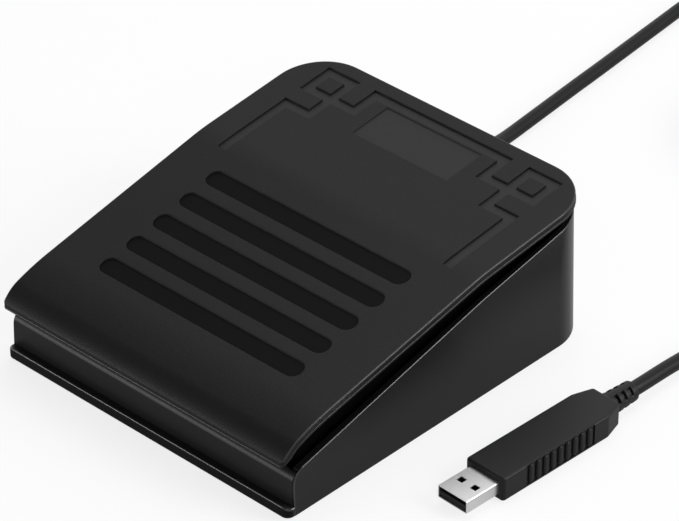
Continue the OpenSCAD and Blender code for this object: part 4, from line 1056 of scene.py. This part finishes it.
# The tail's path: how far along it has gone, and how far it has risen
TAIL = [(2.5, 2.0), (4.5, 2.0), (7, 2.2), (9.5, 2.8), (12, 3.8)]
middle, top = (strap_low[0] + strap_high[0]) / 2, strap_high[1] + HEAD_SEAT
head_low, head_high = (middle - HEAD_L / 2, -HEAD_W / 2), (middle + HEAD_L / 2, HEAD_W / 2)
head_levels = edge_steps(HEAD_EDGE, HEAD_STEPS)
head_levels += [(d, HEAD_H - z) for d, z in edge_steps(HEAD_EDGE, HEAD_STEPS, 90, 0)]
head_loops = [[(r, w, top + z) for r, w in round_box(head_low, head_high, HEAD_R, d)]
              for d, z in head_levels]
tail_loops = [[(middle + along, w, top + rise + z) for w, z in round_box(TAIL_LOW, TAIL_HIGH, TAIL_R, 0)]
              for along, rise in TAIL]
for loops in (head_loops, tail_loops):
    starts = join_loops(loops, points, faces)
    faces += [tuple(range(start, start + len(loops[0]))) for start in (starts[0], starts[-1])]
tie = new_piece("tie", points, faces)
tie.data.transform(Matrix.Translation(COIL_AT) @ Matrix.Rotation(TIE_ANGLE, 4, "Z"))
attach(tie, "base")
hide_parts("coil_tie")

# %% [markdown]
# ## Finishes on the pieces
#
# Every piece made above has material slots to fill, and so has every CAD piece that shows as it is,
# such as the screws, the feet and the board. A table says which finish goes on which, so that a
# reader can change one at a glance.

# %% Give the pieces their finishes


def dress(thing, *finishes):
    """Fills the material slots; clearing them first would lose which face has which slot."""
    slots = thing.data.materials
    for i, finish in enumerate(finishes):
        if i < len(slots):
            slots[i] = finish
        else:
            slots.append(finish)


dress(lead, JACKET_PVC)
dress(pedal, PEDAL_ABS, BAR_AND_SHADE_ABS, FRET_ABS, LABEL_FILM, PEDAL_HIGHLIGHT_ABS)
dress(grip, GRIP_PVC)
dress(tie, BLACK_NYLON)
CAD_FINISHES = {
    ZINC: ["tray_screws", "hinge_pin", "pin_clips", "board_screws", "clamp_screws"],
    FOOT_RUBBER: ["rubber_feet"],
    BOARD_MASK: ["circuit_board"],
    BLACK_NYLON: ["switch_body", "controller_chip", "lead_clamp", "plug_tongue"],
    WHITE_NYLON: ["lead_header", "lead_connector"],
    RED_NYLON: ["switch_plunger"],
    JACKET_PVC: ["inner_wires", "inner_jacket", "lead_boot"],
    NICKEL: ["plug_shell", "crystal_can"],
    GOLD: ["plug_contacts", "switch_pins"],
}
for material, names in CAD_FINISHES.items():
    for name in names:
        dress(nodes[name], material)
print("dressed", sum(len(names) for names in CAD_FINISHES.values()), "CAD pieces")

print("lead leaves the base at", [round(v / MM, 1) for v in BOOT_END], "mm")

# %% [markdown]
# ## Floor and light
#
# The photograph has a white ground. A floor lit to full white would also light the object from below,
# so the floor is a grey paper that only looks white: where the camera sees it directly, most of it is
# plain white, and the rest keeps the soft shadow. A smaller share is white where the object mirrors it.
# The room is bright behind the object, dimmer on the camera's side and dark overhead. Four soft boxes
# stand where the plastic's edges mirror them towards the camera.

# %% Floor
SPAN, SUNK = 6.0, 0.05 * MM
floor_mesh = bpy.data.meshes.new("floor")
floor_mesh.from_pydata([(-SPAN, -SPAN, 0), (SPAN, -SPAN, 0), (SPAN, SPAN, 0), (-SPAN, SPAN, 0)], [],
                       [(0, 1, 2, 3)])
floor = bpy.data.objects.new("floor", floor_mesh)
floor.location.z = -SUNK
scene.collection.objects.link(floor)
print("floor is", 2 * SPAN, "m wide")

# %% White paper
# How much of the floor is plain white when it is seen directly, and when it is mirrored
SEEN_WHITE, MIRRORED_WHITE = 0.8, 0.25
# From here to there, in metres from the middle, the seen floor turns wholly white
FADE_FROM, FADE_TO = 0.4, 1.4
PAPER_LIT, PAPER_SEEN, WHITE = (0.5, 0.5, 0.5, 1), (0.97, 0.97, 0.97, 1), (1, 1, 1, 1)


def seen_directly(tree, path):
    """1 for rays that come from the camera, straight or through something clear."""
    straight, through = path.outputs["Is Camera Ray"], path.outputs["Is Transmission Ray"]
    return add(tree, "ShaderNodeMath", {0: straight, 1: through}, operation="MAXIMUM").outputs[0]


paper = bpy.data.materials.new("white_paper")
paper.use_nodes = True
tree = paper.node_tree
tree.nodes.clear()
path = add(tree, "ShaderNodeLightPath")
tone = add(tree, "ShaderNodeMix",
           {"Factor": path.outputs["Is Camera Ray"], "A": PAPER_LIT, "B": PAPER_SEEN}, data_type="RGBA")
diffuse = add(tree, "ShaderNodeBsdfDiffuse", {"Color": tone.outputs["Result"]})
white = add(tree, "ShaderNodeEmission", {"Color": WHITE, "Strength": 1.0})
place = add(tree, "ShaderNodeTexCoord")
away = add(tree, "ShaderNodeVectorMath", {0: place.outputs["Object"]}, operation="LENGTH")
fade = add(tree, "ShaderNodeMapRange",
           {"Value": away.outputs["Value"], "From Min": FADE_FROM, "From Max": FADE_TO,
            "To Min": SEEN_WHITE, "To Max": 1.0})
direct = add(tree, "ShaderNodeMath", {0: seen_directly(tree, path), 1: fade.outputs["Result"]},
             operation="MULTIPLY")
mirrored = add(tree, "ShaderNodeMath", {0: path.outputs["Is Glossy Ray"], 1: MIRRORED_WHITE},
               operation="MULTIPLY")
share = add(tree, "ShaderNodeMath", {0: direct.outputs[0], 1: mirrored.outputs[0]}, operation="MAXIMUM")
mixed = add(tree, "ShaderNodeMixShader",
            {0: share.outputs[0], 1: diffuse.outputs[0], 2: white.outputs[0]})
add(tree, "ShaderNodeOutputMaterial", {"Surface": mixed.outputs[0]})
floor_mesh.materials.append(paper)
print("paper:", len(tree.nodes), "nodes")

# %% Room
# Up to WALL_TOP the room is bright, and above CEILING it is dark; both are the height of a direction
WALL_TOP, CEILING, DARK = 0.65, 0.77, 0.03
# The walls dim from the rear towards the camera's side, to the level NEAR_SIDE
REAR, NEAR_SIDE, DIM_FROM, DIM_TO = Vector((-0.3, 0.954, 0)), 0.45, -0.2, 0.6
world = bpy.data.worlds.new("studio")
scene.world = world
world.use_nodes = True
tree = world.node_tree
tree.nodes.clear()
way = add(tree, "ShaderNodeTexCoord").outputs["Generated"]
rise = add(tree, "ShaderNodeSeparateXYZ", {0: way})
ceiling = add(tree, "ShaderNodeMapRange",
              {"Value": rise.outputs["Z"], "From Min": WALL_TOP, "From Max": CEILING,
               "To Min": 1.0, "To Max": DARK}, interpolation_type="SMOOTHSTEP")
rearward = add(tree, "ShaderNodeVectorMath", {0: way, 1: REAR}, operation="DOT_PRODUCT")
walls = add(tree, "ShaderNodeMapRange",
            {"Value": rearward.outputs["Value"], "From Min": DIM_FROM, "From Max": DIM_TO,
             "To Min": NEAR_SIDE, "To Max": 1.0}, interpolation_type="SMOOTHSTEP")
room = add(tree, "ShaderNodeMath", {0: ceiling.outputs["Result"], 1: walls.outputs["Result"]},
           operation="MULTIPLY")
path = add(tree, "ShaderNodeLightPath")
shown = add(tree, "ShaderNodeMath", {0: room.outputs[0], 1: seen_directly(tree, path)},
            operation="MAXIMUM")
sky = add(tree, "ShaderNodeBackground", {"Color": WHITE, "Strength": shown.outputs[0]})
add(tree, "ShaderNodeOutputWorld", {"Surface": sky.outputs[0]})
print("room:", len(tree.nodes), "nodes")

# %% Soft boxes
# Each box: its place, what it points at, its width and height in metres, and its watts
SOFT_BOXES = {
    "top_box": ((-0.15, 0.35, 1.2), (0, 0, 0), 0.9, 0.9, 6.5),
    "right_box": ((0.97, 0.52, 0.69), (0.03, 0, 0.03), 0.5, 0.7, 8),
    "front_left_box": ((-0.66, -0.9, 0.16), (0, 0, 0.02), 0.5, 0.24, 3),
    "near_right_box": ((0.91, -0.61, 0.66), (0.03, 0, 0.03), 0.3, 0.3, 1),
}
for name, (place, target, width, height, watts) in SOFT_BOXES.items():
    data = bpy.data.lights.new(name, "AREA")
    data.shape = "RECTANGLE"
    data.size = width
    data.size_y = height
    data.energy = watts
    lamp = bpy.data.objects.new(name, data)
    lamp.location = place
    lamp.rotation_mode = "QUATERNION"
    lamp.rotation_quaternion = (Vector(target) - Vector(place)).to_track_quat("-Z", "Y")
    scene.collection.objects.link(lamp)
scene.view_settings.view_transform = "Standard"
print(len(SOFT_BOXES), "soft boxes")

# %% [markdown]
# ## Sizes
#
# The dressed object should fill the same box as the CAD model, because both share one frame.

# %% Update the scene
bpy.context.view_layer.update()
